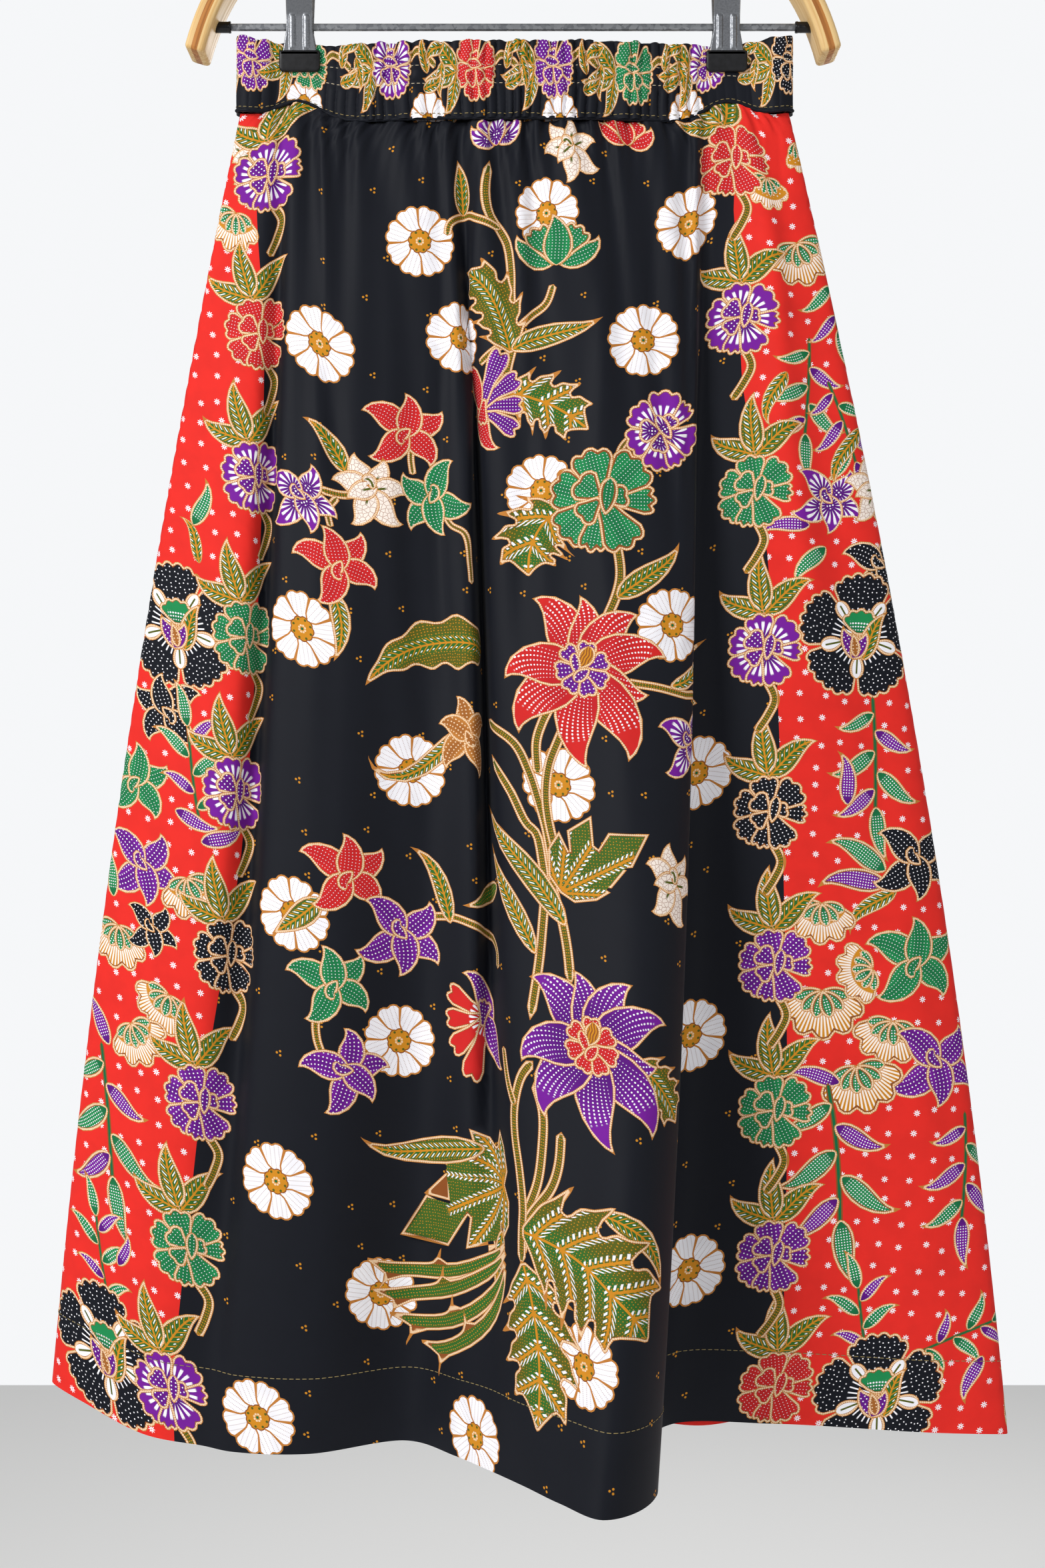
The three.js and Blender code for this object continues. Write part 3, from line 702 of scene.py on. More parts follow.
def pansy():
    """A broad dark flower of the border, with pale ovals and strokes round its heart."""
    parts = [fan(90 + 72 * k, 45, 34, "dark strokes", bumps=6, depth=0.05) for k in range(5)]
    parts += [petal(54 + 72 * k, 17, 11, 0, "drop", "white oval", start=12) for k in range(5)]
    parts.append(fan(88, 19, 58, "green rays", bumps=5, at=(0, 1)))
    parts.append(petal(72, 38, 14, -0.6, "leaf", "leaf dots", at=(4, -16)))
    parts.append(petal(128, 27, 14, -0.5, "leaf", "purple dots", at=(2, -15)))
    parts.append(petal(58, 22, 12, 0.6, "leaf", "purple dots", at=(-4, -15)))
    parts.append(petal(100, 18, 8, 0.2, "leaf", "ochre dots", at=(-1, -14)))
    return parts


def fan_flower():
    """An ochre flower of the border with a pale striped rim and green buds."""
    parts = [fan(270, 27, 76, "ochre stripes", bumps=5, depth=0.14, at=(0, 5))]
    parts += [petal(a, 15, 8, 0, "drop", "green rows", at=(0, 5)) for a in (195, 345, 225, 315, 255, 285)]
    return parts


# The stem of a border spray, and its leaves: where each leaves the stem, its angle, length, width,
# curl and fill
SPRAY_STEM = ((6, -44), (3, -20), (1, 8), (0, 36))
SPRAY = (
    (0, 32, 100, 40, 13, 0.5, "green rows"),
    (1, 20, 42, 37, 12, -0.7, "purple rows"),
    (0, 8, 140, 40, 13, 0.8, "green rows"),
    (2, -6, 36, 40, 13, -0.8, "green rows"),
    (3, -20, 150, 34, 12, 0.8, "purple rows"),
    (4, -32, 30, 32, 11, -0.8, "green rows"),
)


def spray(main, other):
    """A branch of the border with small lance-shaped leaves."""
    parts = [strip(SPRAY_STEM, 3.2, "ribbon", "green plain", "thin")]
    for x, y, angle, long, wide, curl, fill in SPRAY:
        ink = main if fill.startswith("green") else other
        parts.append(petal(angle, long, wide, curl, "leaf", ink, at=(x, y)))
    return parts


# The four leaves of a motif of the waistband: angle, curl and foot
BAND_LEAVES = ((80, 0.8, (-12, -4)), (-70, -0.9, (10, 6)), (20, 1.2, (-14, -18)), (200, 1.2, (16, 20)))


def band_leaves():
    return [petal(angle, 34, 14, curl, "leaf", "leaf white", at=at) for angle, curl, at in BAND_LEAVES]


FLOWERS = {
    "white": white_flower,
    "red lily": lambda: lily("red dots"),
    "purple lily": lambda: lily("purple fan", 0.95),
    "purple dotted lily": lambda: lily("purple dots", 1.08),
    "green lily": lambda: lily("green dots"),
    "dark lily": lambda: lily("dark dots", 0.95),
    "ivory": ivory_flower,
    "great red": lambda: great_flower("red rays", "purple dots", "pistil"),
    "great purple": lambda: great_flower("purple rays", "red dots", "pistil"),
    "purple rosette": lambda: rosette("purple fan"),
    "green rosette": lambda: rosette("green dots"),
    "red guard": lambda: guard("red dots"),
    "purple guard": lambda: guard("purple fan", "purple dots"),
    "purple dotted guard": lambda: guard("purple dots"),
    "green guard": lambda: guard("green dots"),
    "dark guard": lambda: guard("dark dots"),
    "green tulip": lambda: tulip("green dots"),
    "purple tulip": lambda: tulip("purple fan"),
    "red tulip": lambda: tulip("red dots"),
    "ochre lily": lambda: lily("ochre dots"),
    "side purple": lambda: side_flower("red dots", "purple dots"),
    "side red": lambda: side_flower("purple dots", "red fan"),
    "pansy": pansy,
    "fan": fan_flower,
    "spray": lambda: spray("green rows", "purple rows"),
    "purple spray": lambda: spray("purple rows", "green rows"),
    "leaf": lambda: [petal(0, 80, 20, 1.0, "leaf", "leaf white")],
    "band leaves": band_leaves,
    "green leaf": lambda: [petal(0, 42, 14, 0.8, "leaf", "green rows")],
    "purple leaf": lambda: [petal(0, 40, 13, 0.8, "leaf", "purple rows")],
}

# Stems on the front: pixels of the photograph that each runs through, and its width in mm.
STEMS = (
    ("under great purple, left", 7, ((802, 1621), (814, 1670), (814, 1725), (807, 1774), (787, 1830),
                                     (781, 1880))),
    ("under great purple, right", 7, ((841, 1700), (839, 1749), (826, 1784), (792, 1832), (782, 1885))),
    ("lower", 7, ((800, 1590), (782, 1616), (772, 1656), (772, 1700), (780, 1754), (785, 1813), (782, 1848),
                  (782, 1900))),
    ("to great purple", 7, ((794, 1530), (804, 1483), (809, 1439), (814, 1394), (817, 1331), (814, 1290),
                            (804, 1250), (789, 1232), (765, 1183), (738, 1130))),
    ("to ochre lily", 7, ((834, 1330), (819, 1247), (809, 1207), (794, 1158), (770, 1114), (733, 1079))),
    ("to great red, left", 7, ((807, 1160), (804, 1114), (814, 1084), (830, 1050))),
    ("to great red, right", 7, ((856, 1478), (851, 1429), (844, 1380), (829, 1330), (834, 1281), (824, 1232),
                                (819, 1193), (824, 1148), (836, 1114), (850, 1080))),
    ("over great red", 7, ((905, 940), (923, 897), (930, 862), (928, 827), (918, 798), (905, 780))),
    ("right of great red", 6, ((940, 1025), (1002, 1035), (1046, 1054))),
    ("upper", 7, ((755, 585), (762, 550), (770, 510), (767, 446), (767, 407), (762, 367), (752, 347),
                  (733, 318), (728, 283), (735, 240))),
    ("upper, left", 6, ((752, 345), (720, 330), (701, 325), (676, 333), (671, 352))),
    ("to side purple", 6, ((756, 515), (735, 528), (720, 545))),
    ("to tulip", 6, ((772, 495), (799, 471), (819, 456), (831, 426))),
    ("to dotted lily", 6, ((747, 1453), (745, 1424), (720, 1394), (681, 1377), (641, 1374))),
    ("to side red", 6, ((772, 1660), (762, 1620), (755, 1570))),
    ("left lilies", 6, ((484, 1582), (474, 1557), (476, 1527), (491, 1508), (505, 1480))),
    ("lily pair", 6, ((480, 735), (515, 740), (545, 738))),
    ("right of ivory", 6, ((590, 735), (618, 728), (640, 735))),
    ("under red lily", 5, ((618, 672), (616, 690), (620, 712))),
    ("down from lilies", 5, ((660, 760), (676, 785), (698, 800), (706, 850), (708, 877))),
    ("red lily lower", 5, ((496, 790), (492, 765), (505, 745))),
    ("to cluster", 5, ((928, 700), (930, 680), (937, 663), (955, 650))),
)

# The leaves of the front: the pixels of the photograph at the foot and tip of each, its width in
# mm, how far it bends all along and how far more towards its tip, in radians.
LEAVES = (
    # shape, fill, foot px, py, tip px, py, width, bend, flick
    ("leaf", "leaf white", 481, 1350, 407, 1401, 17, -0.3, 0),
    ("leaf", "leaf plain", 745, 1330, 694, 1359, 13, 0.4, -0.8),
    ("leaf", "leaf white", 804, 1434, 739, 1262, 15, 0.2, 0),
    ("leaf", "leaf white", 850, 1390, 733, 1207, 18, 0.5, -0.1),
    ("leaf", "leaf dots", 676, 1385, 614, 1269, 14, 0.2, 0.9),
    ("leaf", "leaf white", 754, 1845, 743, 1937, 13, 0, 0),
    ("thorned", "leaf plain", 756, 1868, 550, 1899, 11, -0.95, 0),
    ("thorned", "leaf plain", 757, 1880, 560, 1949, 11, -0.8, 0),
    ("thorned", "leaf plain", 758, 1892, 585, 1981, 11, -1.2, 0),
    ("thorned", "leaf plain", 759, 1902, 636, 2025, 11, -1.1, 0),
    ("leaf", "leaf white", 730, 1722, 540, 1705, 19, 0.5, -1.5),
    ("leaf", "leaf dots", 903, 1822, 991, 1932, 16, -1.5, 0),
    ("toothed", "leaf white", 950, 1592, 1015, 1685, 26, -0.5, 0),
    ("toothed", "leaf branches", 785, 1895, 806, 2145, 46, -0.5, 0),
    ("toothed", "leaf branches", 782, 1848, 972, 2011, 62, -0.95, 0),
    ("lobed", "leaf dots", 722, 978, 548, 1030, 39, 1.1, 0.2),
    ("leaf", "leaf white", 498, 885, 501, 993, 14, -1.0, 0),
    ("leaf", "leaf white", 700, 1092, 553, 1133, 13, 0.5, -2.8),
    ("toothed", "leaf branches", 842, 766, 793, 866, 40, 1.2, 0),
    ("leaf", "leaf dots", 926, 899, 1021, 813, 17, -0.6, 1.2),
    ("leaf", "leaf white", 1005, 1028, 1060, 960, 13, 0.3, 0),
    ("leaf", "leaf dots", 518, 708, 454, 626, 15, 0.5, 0.8),
    ("leaf", "leaf dots", 695, 325, 686, 239, 15, 0, 0.2),
    ("toothed", "leaf white", 766, 530, 701, 411, 28, 0.3, 0.8),
    ("leaf", "leaf white", 767, 526, 905, 476, 17, -0.9, 1.0),
    ("toothed", "leaf branches", 755, 589, 883, 643, 32, -0.9, 0.2),
)

# The white flowers of the front, which lie under the leaves: the pixel of the photograph at the
# centre of each, its turn in degrees and its width where the cloth is gathered.
WHITE_FLOWERS = (
    (478, 515, 0, 1), (965, 510, 20, 1), (630, 360, 10, 0.95), (820, 320, 40, 0.9),
    (692, 505, 5, 1), (1033, 335, 15, 1), (452, 945, 35, 1), (1010, 940, 12, 1),
    (615, 1158, 0, 1), (838, 1175, 25, 1), (440, 1370, 10, 1), (598, 1560, 0, 1),
    (413, 1770, 30, 1), (572, 1940, 15, 1), (385, 2125, 0, 1), (712, 2155, 20, 1),
    (1032, 1905, 0, 1), (875, 2050, 30, 1), (1036, 1552, 0, 1), (812, 735, 0, 1),
    (1045, 1160, 20, 1),
)

# The other flowers of the front, by the pixel of the photograph at the centre of each. Size is a
# share of the motif's own, and squeeze its width where the cloth is gathered.
MOTIFS = (
    # kind, px, py, size, turn, squeeze
    ("red lily", 612, 648, 1, 0, 1),
    ("red lily", 510, 847, 1, 25, 1),
    ("red lily", 525, 1311, 1.05, 5, 1),
    ("ivory", 556, 735, 1, 0, 1),
    ("ivory", 855, 220, 0.9, 20, 0.8),
    ("ivory", 1010, 1327, 1, -20, 0.8),
    ("purple lily", 454, 745, 0.95, 10, 1),
    ("purple dotted lily", 607, 1403, 1, -12, 1),
    ("purple dotted lily", 525, 1607, 0.95, 30, 1),
    ("purple lily", 1037, 1111, 1, 10, 0.9),
    ("green lily", 645, 752, 1.0, 200, 0.85),
    ("green lily", 502, 1474, 1, 15, 1),
    ("side purple", 722, 610, 0.95, 180, 0.9),
    ("side red", 728, 1525, 1.0, 0, 0.9),
    ("ochre lily", 700, 1098, 0.95, 75, 0.85),
    ("great red", 875, 1002, 1, 0, 1),
    ("great purple", 888, 1572, 0.98, 8, 1),
    ("green rosette", 902, 751, 1.4, 0, 1),
    ("purple rosette", 993, 645, 1.02, 40, 1),
    ("green tulip", 835, 395, 1.15, 0, 1),
    ("purple tulip", 745, 215, 1, 10, 0.8),
    ("red tulip", 940, 215, 0.95, -10, 0.8),
)

# Guard flowers down both edges of the dark field, each with leaves over it and a stem
GUARDS = (
    ("red guard", 1162, 2082),
    ("purple dotted guard", 1160, 1885),
    ("green guard", 1162, 1664),
    ("purple dotted guard", 1162, 1448),
    ("dark guard", 1154, 1219),
    ("purple guard", 1146, 975),
    ("green guard", 1132, 735),
    ("purple guard", 1112, 475),
    ("red guard", 1098, 240),
    ("purple guard", 254, 2086),
    ("green guard", 281, 1872),
    ("purple dotted guard", 301, 1656),
    ("dark guard", 342, 1432),
    ("purple guard", 354, 1192),
    ("green guard", 370, 955),
    ("purple guard", 384, 715),
    ("red guard", 388, 500),
    ("purple guard", 402, 262),
)

# Flowers, sprays and leaves of the red border, a leaf by the pixel at its foot
BORDER_MOTIFS = (
    ("spray", 1215, 590, 0.9, 178, 1),
    ("purple spray", 1270, 640, 0.8, 200, 1),
    ("spray", 1245, 440, 0.8, 190, 1),
    ("leaf", 1180, 560, 0.55, 250, 1),
    ("leaf", 1300, 640, 0.6, 240, 1),
    ("fan", 1200, 376, 1.2, 20, 1),
    ("fan", 1150, 275, 0.9, 0, 0.8),
    ("fan", 1205, 220, 0.8, 30, 0.8),
    ("purple leaf", 1215, 790, 0.9, 190, 1),
    ("green leaf", 1240, 820, 0.9, 230, 1),
    ("purple lily", 1247, 749, 0.95, 0, 1),
    ("ivory", 1318, 735, 0.9, 0, 1),
    ("dark lily", 1325, 850, 1.0, 20, 1),
    ("pansy", 1291, 955, 1, 0, 1),
    ("spray", 1318, 1140, 1, 180, 1),
    ("purple leaf", 1272, 1210, 1, 95, 1),
    ("green leaf", 1330, 1305, 1.15, 150, 1),
    ("purple leaf", 1330, 1325, 1.25, 178, 1),
    ("leaf", 1345, 1335, 0.6, 215, 1),
    ("dark lily", 1378, 1292, 1.1, 0, 1),
    ("fan", 1232, 1368, 1.1, 0, 1),
    ("fan", 1235, 1500, 1.3, 5, 1),
    ("fan", 1300, 1458, 1, -70, 1),
    ("green lily", 1378, 1440, 1.15, 10, 1),
    ("fan", 1335, 1545, 1.15, -10, 1),
    ("purple dotted lily", 1407, 1598, 1.05, 0, 1),
    ("fan", 1290, 1612, 1.3, 20, 1),
    ("purple leaf", 1262, 1625, 1, 168, 1),
    ("spray", 1262, 1745, 1.25, 186, 1),
    ("purple spray", 1450, 1760, 0.95, 178, 1),
    ("spray", 1290, 1985, 0.75, 12, 1),
    ("spray", 1440, 2000, 0.75, -70, 1),
    ("purple leaf", 1475, 2035, 0.9, 250, 1),
    ("leaf", 1530, 2140, 0.6, 100, 1),
    ("pansy", 1318, 2092, 1, 10, 1),
    ("fan", 352, 330, 1.1, -20, 0.8),
    ("ivory", 372, 235, 0.85, 0, 0.8),
    ("green leaf", 290, 790, 0.9, 60, 1),
    ("leaf", 300, 845, 0.45, 100, 1),
    ("pansy", 266, 942, 1, 0, 1),
    ("dark lily", 246, 1065, 1, 180, 1),
    ("green lily", 208, 1170, 1, 0, 1),
    ("spray", 285, 1150, 0.85, 0, 1),
    ("purple leaf", 262, 1215, 0.9, -20, 1),
    ("purple leaf", 300, 1265, 0.95, 20, 1),
    ("purple dotted lily", 220, 1300, 0.95, 0, 1),
    ("fan", 285, 1330, 1.1, 20, 1),
    ("fan", 177, 1400, 1.15, -10, 1),
    ("dark lily", 232, 1395, 0.75, 0, 1),
    ("fan", 250, 1500, 1.05, -30, 1),
    ("fan", 205, 1545, 1.1, 30, 1),
    ("green leaf", 170, 1345, 0.9, 100, 1),
    ("purple leaf", 165, 1570, 1, 120, 1),
    ("spray", 165, 1680, 1.15, 178, 1),
    ("spray", 150, 1880, 0.75, 0, 1),
    ("purple leaf", 178, 1900, 0.7, 60, 1),
    ("pansy", 160, 2030, 1, 0, 1),
)

# Where the dark field meets the red border, by pixels of the photograph.
FIELD_LEFT = ((402, 180), (397, 480), (392, 800), (378, 1100), (360, 1300), (330, 1480), (302, 1650),
              (282, 1850), (262, 2050), (256, 2130))
FIELD_RIGHT = ((1090, 180), (1100, 340), (1112, 560), (1150, 800), (1168, 1030), (1176, 1260), (1180, 1480),
               (1180, 1740), (1176, 1900), (1172, 2130))
GUARD_WIDE = 0.98


def flat_line(pixels):
    return np.array([photo.place(px, py) for px, py in pixels])


def border_edge(pixels):
    """The field's edge as a line in flat millimetres from above the seam to below the hem."""
    line = flat_line(pixels)
    line = line[np.argsort(line[:, 1])]
    t = np.linspace(-5, CLOTH_LONG + 5, 24)
    return np.stack([np.interp(t, line[:, 1], line[:, 0]), t], 1)


def patch(outline, fill):
    return Part(outline, np.zeros((0, 2)), fill, fill, 1.0, outline[:1])


def placed(rows):
    """The parts of a table of motifs, each put at its pixel."""
    parts = []
    for kind, px, py, size, turn, squeeze in rows:
        parts += moved(FLOWERS[kind](), *photo.place(px, py), turn, size, squeeze)
    return parts


def upright(pixels):
    """Flat places of pixels, with y up the cloth."""
    return flat_line(pixels) * (1, -1)


def front_print():
    left, right = border_edge(FIELD_LEFT), border_edge(FIELD_RIGHT)
    far = 600
    parts = [
        patch(np.vstack([left, [(-far, CLOTH_LONG + 5), (-far, -5)]]), "border"),
        patch(np.vstack([right, [(far, CLOTH_LONG + 5), (far, -5)]]), "border"),
    ]
    parts += placed(BORDER_MOTIFS)
    parts += placed([("white", px, py, 1, turn, squeeze) for px, py, turn, squeeze in WHITE_FLOWERS])
    growth = [strip(upright(pixels), width, "ribbon", "stem") for _, width, pixels in STEMS]
    for foot, tips in (PALM_LEFT, PALM_RIGHT):
        growth.append(palm_leaf(upright([foot])[0], upright(tips)))
    outlines = {"toothed": toothed(4), "thorned": THORNED}
    for shape, fill, foot_px, foot_py, tip_px, tip_py, width, bend, flick in LEAVES:
        middle = leaf_line(*upright([(foot_px, foot_py), (tip_px, tip_py)]), bend, flick)
        if shape in outlines:
            growth.append(shaped(middle, width, outlines[shape], fill))
        else:
            growth.append(strip(middle, width, shape, fill))
    parts += moved(growth, 0, 0)
    parts += placed(MOTIFS)
    return parts + placed([(kind, px, py, GUARD_WIDE, 0, 1) for kind, px, py in GUARDS])


def back_print(parts):
    """The same cloth round the back, spread to the back panel's width."""

    def wider(points):
        share = back.half_width(points[:, 1]) / front.half_width(points[:, 1])
        return np.stack([points[:, 0] * share, points[:, 1]], 1)

    return remade(parts, wider)


# Materials
def linear(r, g, b):
    """A colour given in sRGB from 0 to 255, as linear values with alpha."""
    def one(v):
        v /= 255
        return v / 12.92 if v <= 0.04045 else ((v + 0.055) / 1.055) ** 2.4
    return (one(r), one(g), one(b), 1.0)


INK = {
    "dark": linear(13, 16, 25),
    "red": linear(226, 42, 34),
    "red petal": linear(206, 36, 34),
    "red deep": linear(190, 30, 36),
    "purple": linear(116, 26, 150),
    "purple deep": linear(84, 14, 118),
    "green": linear(26, 134, 76),
    "green deep": linear(18, 104, 62),
    "leaf": linear(48, 104, 38),
    "olive": linear(86, 92, 24),
    "ochre": linear(206, 136, 30),
    "gold": linear(190, 122, 52),
    "brown": linear(140, 78, 34),
    "cream": linear(240, 208, 170),
    "white": linear(246, 244, 248),
    "ivory": linear(250, 236, 224),
}


class Shader:
    """Builds one material's nodes from short calls. Values are sockets or numbers."""

    def __init__(self, name):
        self.material = bpy.data.materials.new(name)
        self.material.use_nodes = True
        self.tree = self.material.node_tree
        self.out = self.tree.nodes["Principled BSDF"]

    def node(self, kind, **settings):
        made = self.tree.nodes.new(kind)
        for key, value in settings.items():
            setattr(made, key, value)
        return made

    def put(self, socket, value):
        if isinstance(value, bpy.types.NodeSocket):
            self.tree.links.new(value, socket)
        else:
            socket.default_value = value

    def math(self, operation, *values):
        made = self.node("ShaderNodeMath", operation=operation)
        for socket, value in zip(made.inputs, values):
            self.put(socket, value)
        return made.outputs[0]

    def times(self, first, second):
        return self.math("MULTIPLY", first, second)

    def plus(self, first, second):
        return self.math("ADD", first, second)

    def minus(self, first, second):
        return self.math("SUBTRACT", first, second)

    def size(self, value):
        return self.math("ABSOLUTE", value)

    def vector(self, *values):
        made = self.node("ShaderNodeCombineXYZ")
        for socket, value in zip(made.inputs, values):
            self.put(socket, value)
        return made.outputs[0]

    def polar(self, a, b):
        """How far a place is from the origin, and in which direction."""
        return self.length(a, b), self.math("ARCTAN2", b, a)

    def texture(self, kind, vector, values, **settings):
        made = self.node(kind, **settings)
        self.put(made.inputs["Vector"], vector)
        for name, value in values.items():
            made.inputs[name].default_value = value
        return made

    def look(self, values):
        """Sets sockets of the surface itself."""
        for name, value in values.items():
            self.put(self.out.inputs[name], value)

    def relief(self, height, strength, distance=0.0002):
        made = self.node("ShaderNodeBump")
        made.inputs["Strength"].default_value = strength
        made.inputs["Distance"].default_value = distance
        self.put(made.inputs["Height"], height)
        self.put(self.out.inputs["Normal"], made.outputs[0])

    def mix(self, share, first, second):
        made = self.node("ShaderNodeMix", data_type="RGBA")
        self.put(made.inputs[0], share)
        self.put(made.inputs[6], first)
        self.put(made.inputs[7], second)
        return made.outputs[2]

    def uv(self, name):
        parts = self.node("ShaderNodeSeparateXYZ")
        self.put(parts.inputs[0], self.node("ShaderNodeUVMap", uv_map=name).outputs[0])
        return parts.outputs[0], parts.outputs[1]

    def ramp(self, value, low, high):
        """0 below low, 1 above high, or the other way round."""
        made = self.node("ShaderNodeMapRange", clamp=True, interpolation_type="SMOOTHSTEP")
        for socket, v in zip(made.inputs, (value, low, high, 0.0, 1.0)):
            self.put(socket, v)
        return made.outputs[0]

    def length(self, *values):
        squares = [self.times(v, v) for v in values]
        return self.math("SQRT", self.plus(squares[0], squares[1]))

    def wrapped(self, value, pitch):
        """How far a value is from the middle of its step, from -pitch/2 to pitch/2."""
        share = self.math("FRACT", self.math("DIVIDE", value, pitch))
        return self.times(self.minus(share, 0.5), pitch)

    def spots(self, a, b, pitch, loose=0.3):
        """Distance, in the same unit as a and b, to the nearest of evenly scattered dots."""
        at = self.vector(a, b)
        cells = self.texture("ShaderNodeTexVoronoi", at, {"Scale": 1 / pitch, "Randomness": loose},
                             voronoi_dimensions="2D", feature="F1")
        return self.times(cells.outputs["Distance"], pitch), cells, at

    def scattered(self, pitch, loose):
        """The place from the nearest of scattered points on the flat cloth, in mm."""
        s, t = self.uv("Flat")
        _, cells, at = self.spots(s, t, pitch, loose)
        off = self.node("ShaderNodeVectorMath", operation="SUBTRACT")
        self.put(off.inputs[0], at)
        self.put(off.inputs[1], cells.outputs["Position"])
        local = self.node("ShaderNodeSeparateXYZ")
        self.put(local.inputs[0], off.outputs[0])
        return local.outputs[0], local.outputs[1]

    def cloth(self, colour, roughness=0.72, sheen=0.02):
        """Finishes a printed cotton: soft mottling of the ink, a fine weave and a little sheen."""
        s, t = self.uv("Flat")
        mottle = self.texture("ShaderNodeTexNoise", self.vector(s, t), {"Scale": 0.06, "Detail": 3},
                              noise_dimensions="2D")
        share = self.ramp(mottle.outputs[0], 0.3, 0.75)
        shade = self.node("ShaderNodeMix", data_type="RGBA", blend_type="MULTIPLY")
        self.put(shade.inputs[0], self.times(share, 0.16))
        self.put(shade.inputs[6], colour)
        shade.inputs[7].default_value = (0.55, 0.55, 0.6, 1)
        warp, weft = (self.size(self.wrapped(v, THREAD_PITCH)) for v in (s, t))
        self.relief(self.plus(warp, weft), 0.22)
        self.look({"Base Color": shade.outputs[2], "Roughness": roughness, "Specular IOR Level": 0.16,
                   "Sheen Weight": sheen, "Sheen Roughness": 0.45})
        return self.material


def on_motif(name):
    """A new material's nodes, and the place along and across the motif."""
    sh = Shader(name)
    return sh, *sh.uv("Motif")


def dotted(name, ink, deep, dot, pitch, radius):
    """Rows of dots that follow a petal, which is deeper in colour along its middle."""
    sh, a, b = on_motif(name)
    near = sh.length(sh.wrapped(a, pitch), sh.wrapped(b, pitch * 1.15))
    near = sh.plus(near, sh.ramp(a, 4.0, 3.0))
    shade = sh.ramp(sh.size(b), 7.0, 1.0)
    ground = sh.mix(sh.times(shade, 0.6), INK[ink], INK[deep])
    return sh.cloth(sh.mix(sh.ramp(near, radius + 0.12, radius - 0.12), ground, INK[dot]))


def fanned(name, ink, deep):
    """White strokes that spread from a petal's foot, with a few dots inside them."""
    sh, a, b = on_motif(name)
    a = sh.minus(a, 8.0)
    reach, angle = sh.polar(a, b)
    off = sh.times(sh.wrapped(angle, 0.38), reach)
    swell = sh.times(sh.ramp(reach, 2.0, 12.0), 1.1)
    inside = sh.ramp(sh.minus(swell, sh.size(off)), -0.1, 0.25)
    band = sh.times(sh.ramp(reach, 3.4, 4.2), sh.ramp(reach, 14.0, 12.5))
    near, _, _ = sh.spots(a, b, 2.2, 0.1)
    heart = sh.times(sh.ramp(near, 0.75, 0.45), sh.ramp(reach, 2.8, 2.2))
    mask = sh.math("MAXIMUM", sh.times(inside, band), heart)
    ground = sh.mix(sh.ramp(reach, 12.0, 2.0), INK[ink], INK[deep])
    return sh.cloth(sh.mix(mask, ground, INK["white"]))


def veined(name, ground_ink, edge_ink, dashes):
    """A leaf: an ochre midrib with barbs, and white dashes or dots between them."""
    sh, a, b = on_motif(name)
    side = sh.size(b)
    near, _, _ = sh.spots(a, b, 2.1, 0.35)
    ground = sh.mix(sh.ramp(side, 2.0, 9.0), INK[ground_ink], INK[edge_ink])
    specks = sh.times(sh.ramp(near, 0.5, 0.3), sh.ramp(side, 3.6, 5.0))
    colour = sh.mix(specks, ground, INK["ochre"])
    slope = sh.minus(a, sh.times(side, 1.1))
    barb = sh.size(sh.wrapped(slope, 4.4))
    reach = sh.ramp(side, 5.4, 4.4)
    colour = sh.mix(sh.times(sh.ramp(barb, 0.65, 0.35), reach), colour, INK["ochre"])
    gap = sh.size(sh.wrapped(sh.plus(slope, 2.2), 4.4))
    if dashes:
        white = sh.times(sh.ramp(gap, 0.7, 0.35), sh.ramp(side, 1.7, 2.2))
        white = sh.times(white, sh.ramp(side, 4.9, 4.1))
    else:
        across = sh.minus(side, 3.4)
        white = sh.ramp(sh.length(gap, across), 0.75, 0.5)
    colour = sh.mix(white, colour, INK["white"])
    return sh.cloth(sh.mix(sh.ramp(side, 0.75, 0.5), colour, INK["ochre"]))


def branched(name, palm):
    """A broad leaf whose ochre veins branch from its midrib, or spread from its foot."""
    sh, a, b = on_motif(name)
    side = sh.size(b)
    near, _, _ = sh.spots(a, b, 2.1, 0.35)
    ground = sh.mix(0.4 if palm else sh.ramp(side, 4.0, 18.0), INK["leaf"], INK["olive"])
    colour = sh.mix(sh.ramp(near, 0.45, 0.25), ground, INK["ochre"])
    if palm:
        along, angle = sh.polar(a, b)
        turn = sh.wrapped(sh.plus(angle, PALM_PITCH / 2), PALM_PITCH)
        off = sh.times(turn, along)
        shown = sh.ramp(along, 62.0, 58.0)
    else:
        slope = sh.minus(a, sh.times(side, 0.75))
        off = sh.times(sh.wrapped(slope, 20.0), 0.8)
        along = side
        shown = sh.ramp(sh.size(off), 5.0, 4.0)
    out = sh.size(off)
    step = sh.minus(along, sh.times(out, 1.1))
    long = 3.4 if palm else 4.4
    dash = sh.ramp(sh.size(sh.wrapped(step, 3.6)), 0.85, 0.55)
    beside = sh.times(sh.ramp(out, 1.5, 1.9), sh.ramp(out, long + 0.4, long))
    barb = sh.ramp(sh.size(sh.wrapped(sh.plus(step, 1.8), 3.6)), 0.55, 0.3)
    barb = sh.times(barb, sh.ramp(out, 2.9, 2.4))
    white = sh.times(sh.times(dash, beside), shown)
    colour = sh.mix(white, colour, INK["white"])
    vein = sh.times(sh.math("MAXIMUM", sh.ramp(out, 0.95, 0.7), barb), shown)
    if not palm:
        vein = sh.math("MAXIMUM", vein, sh.ramp(side, 1.0, 0.75))
    return sh.cloth(sh.mix(vein, colour, INK["ochre"]))


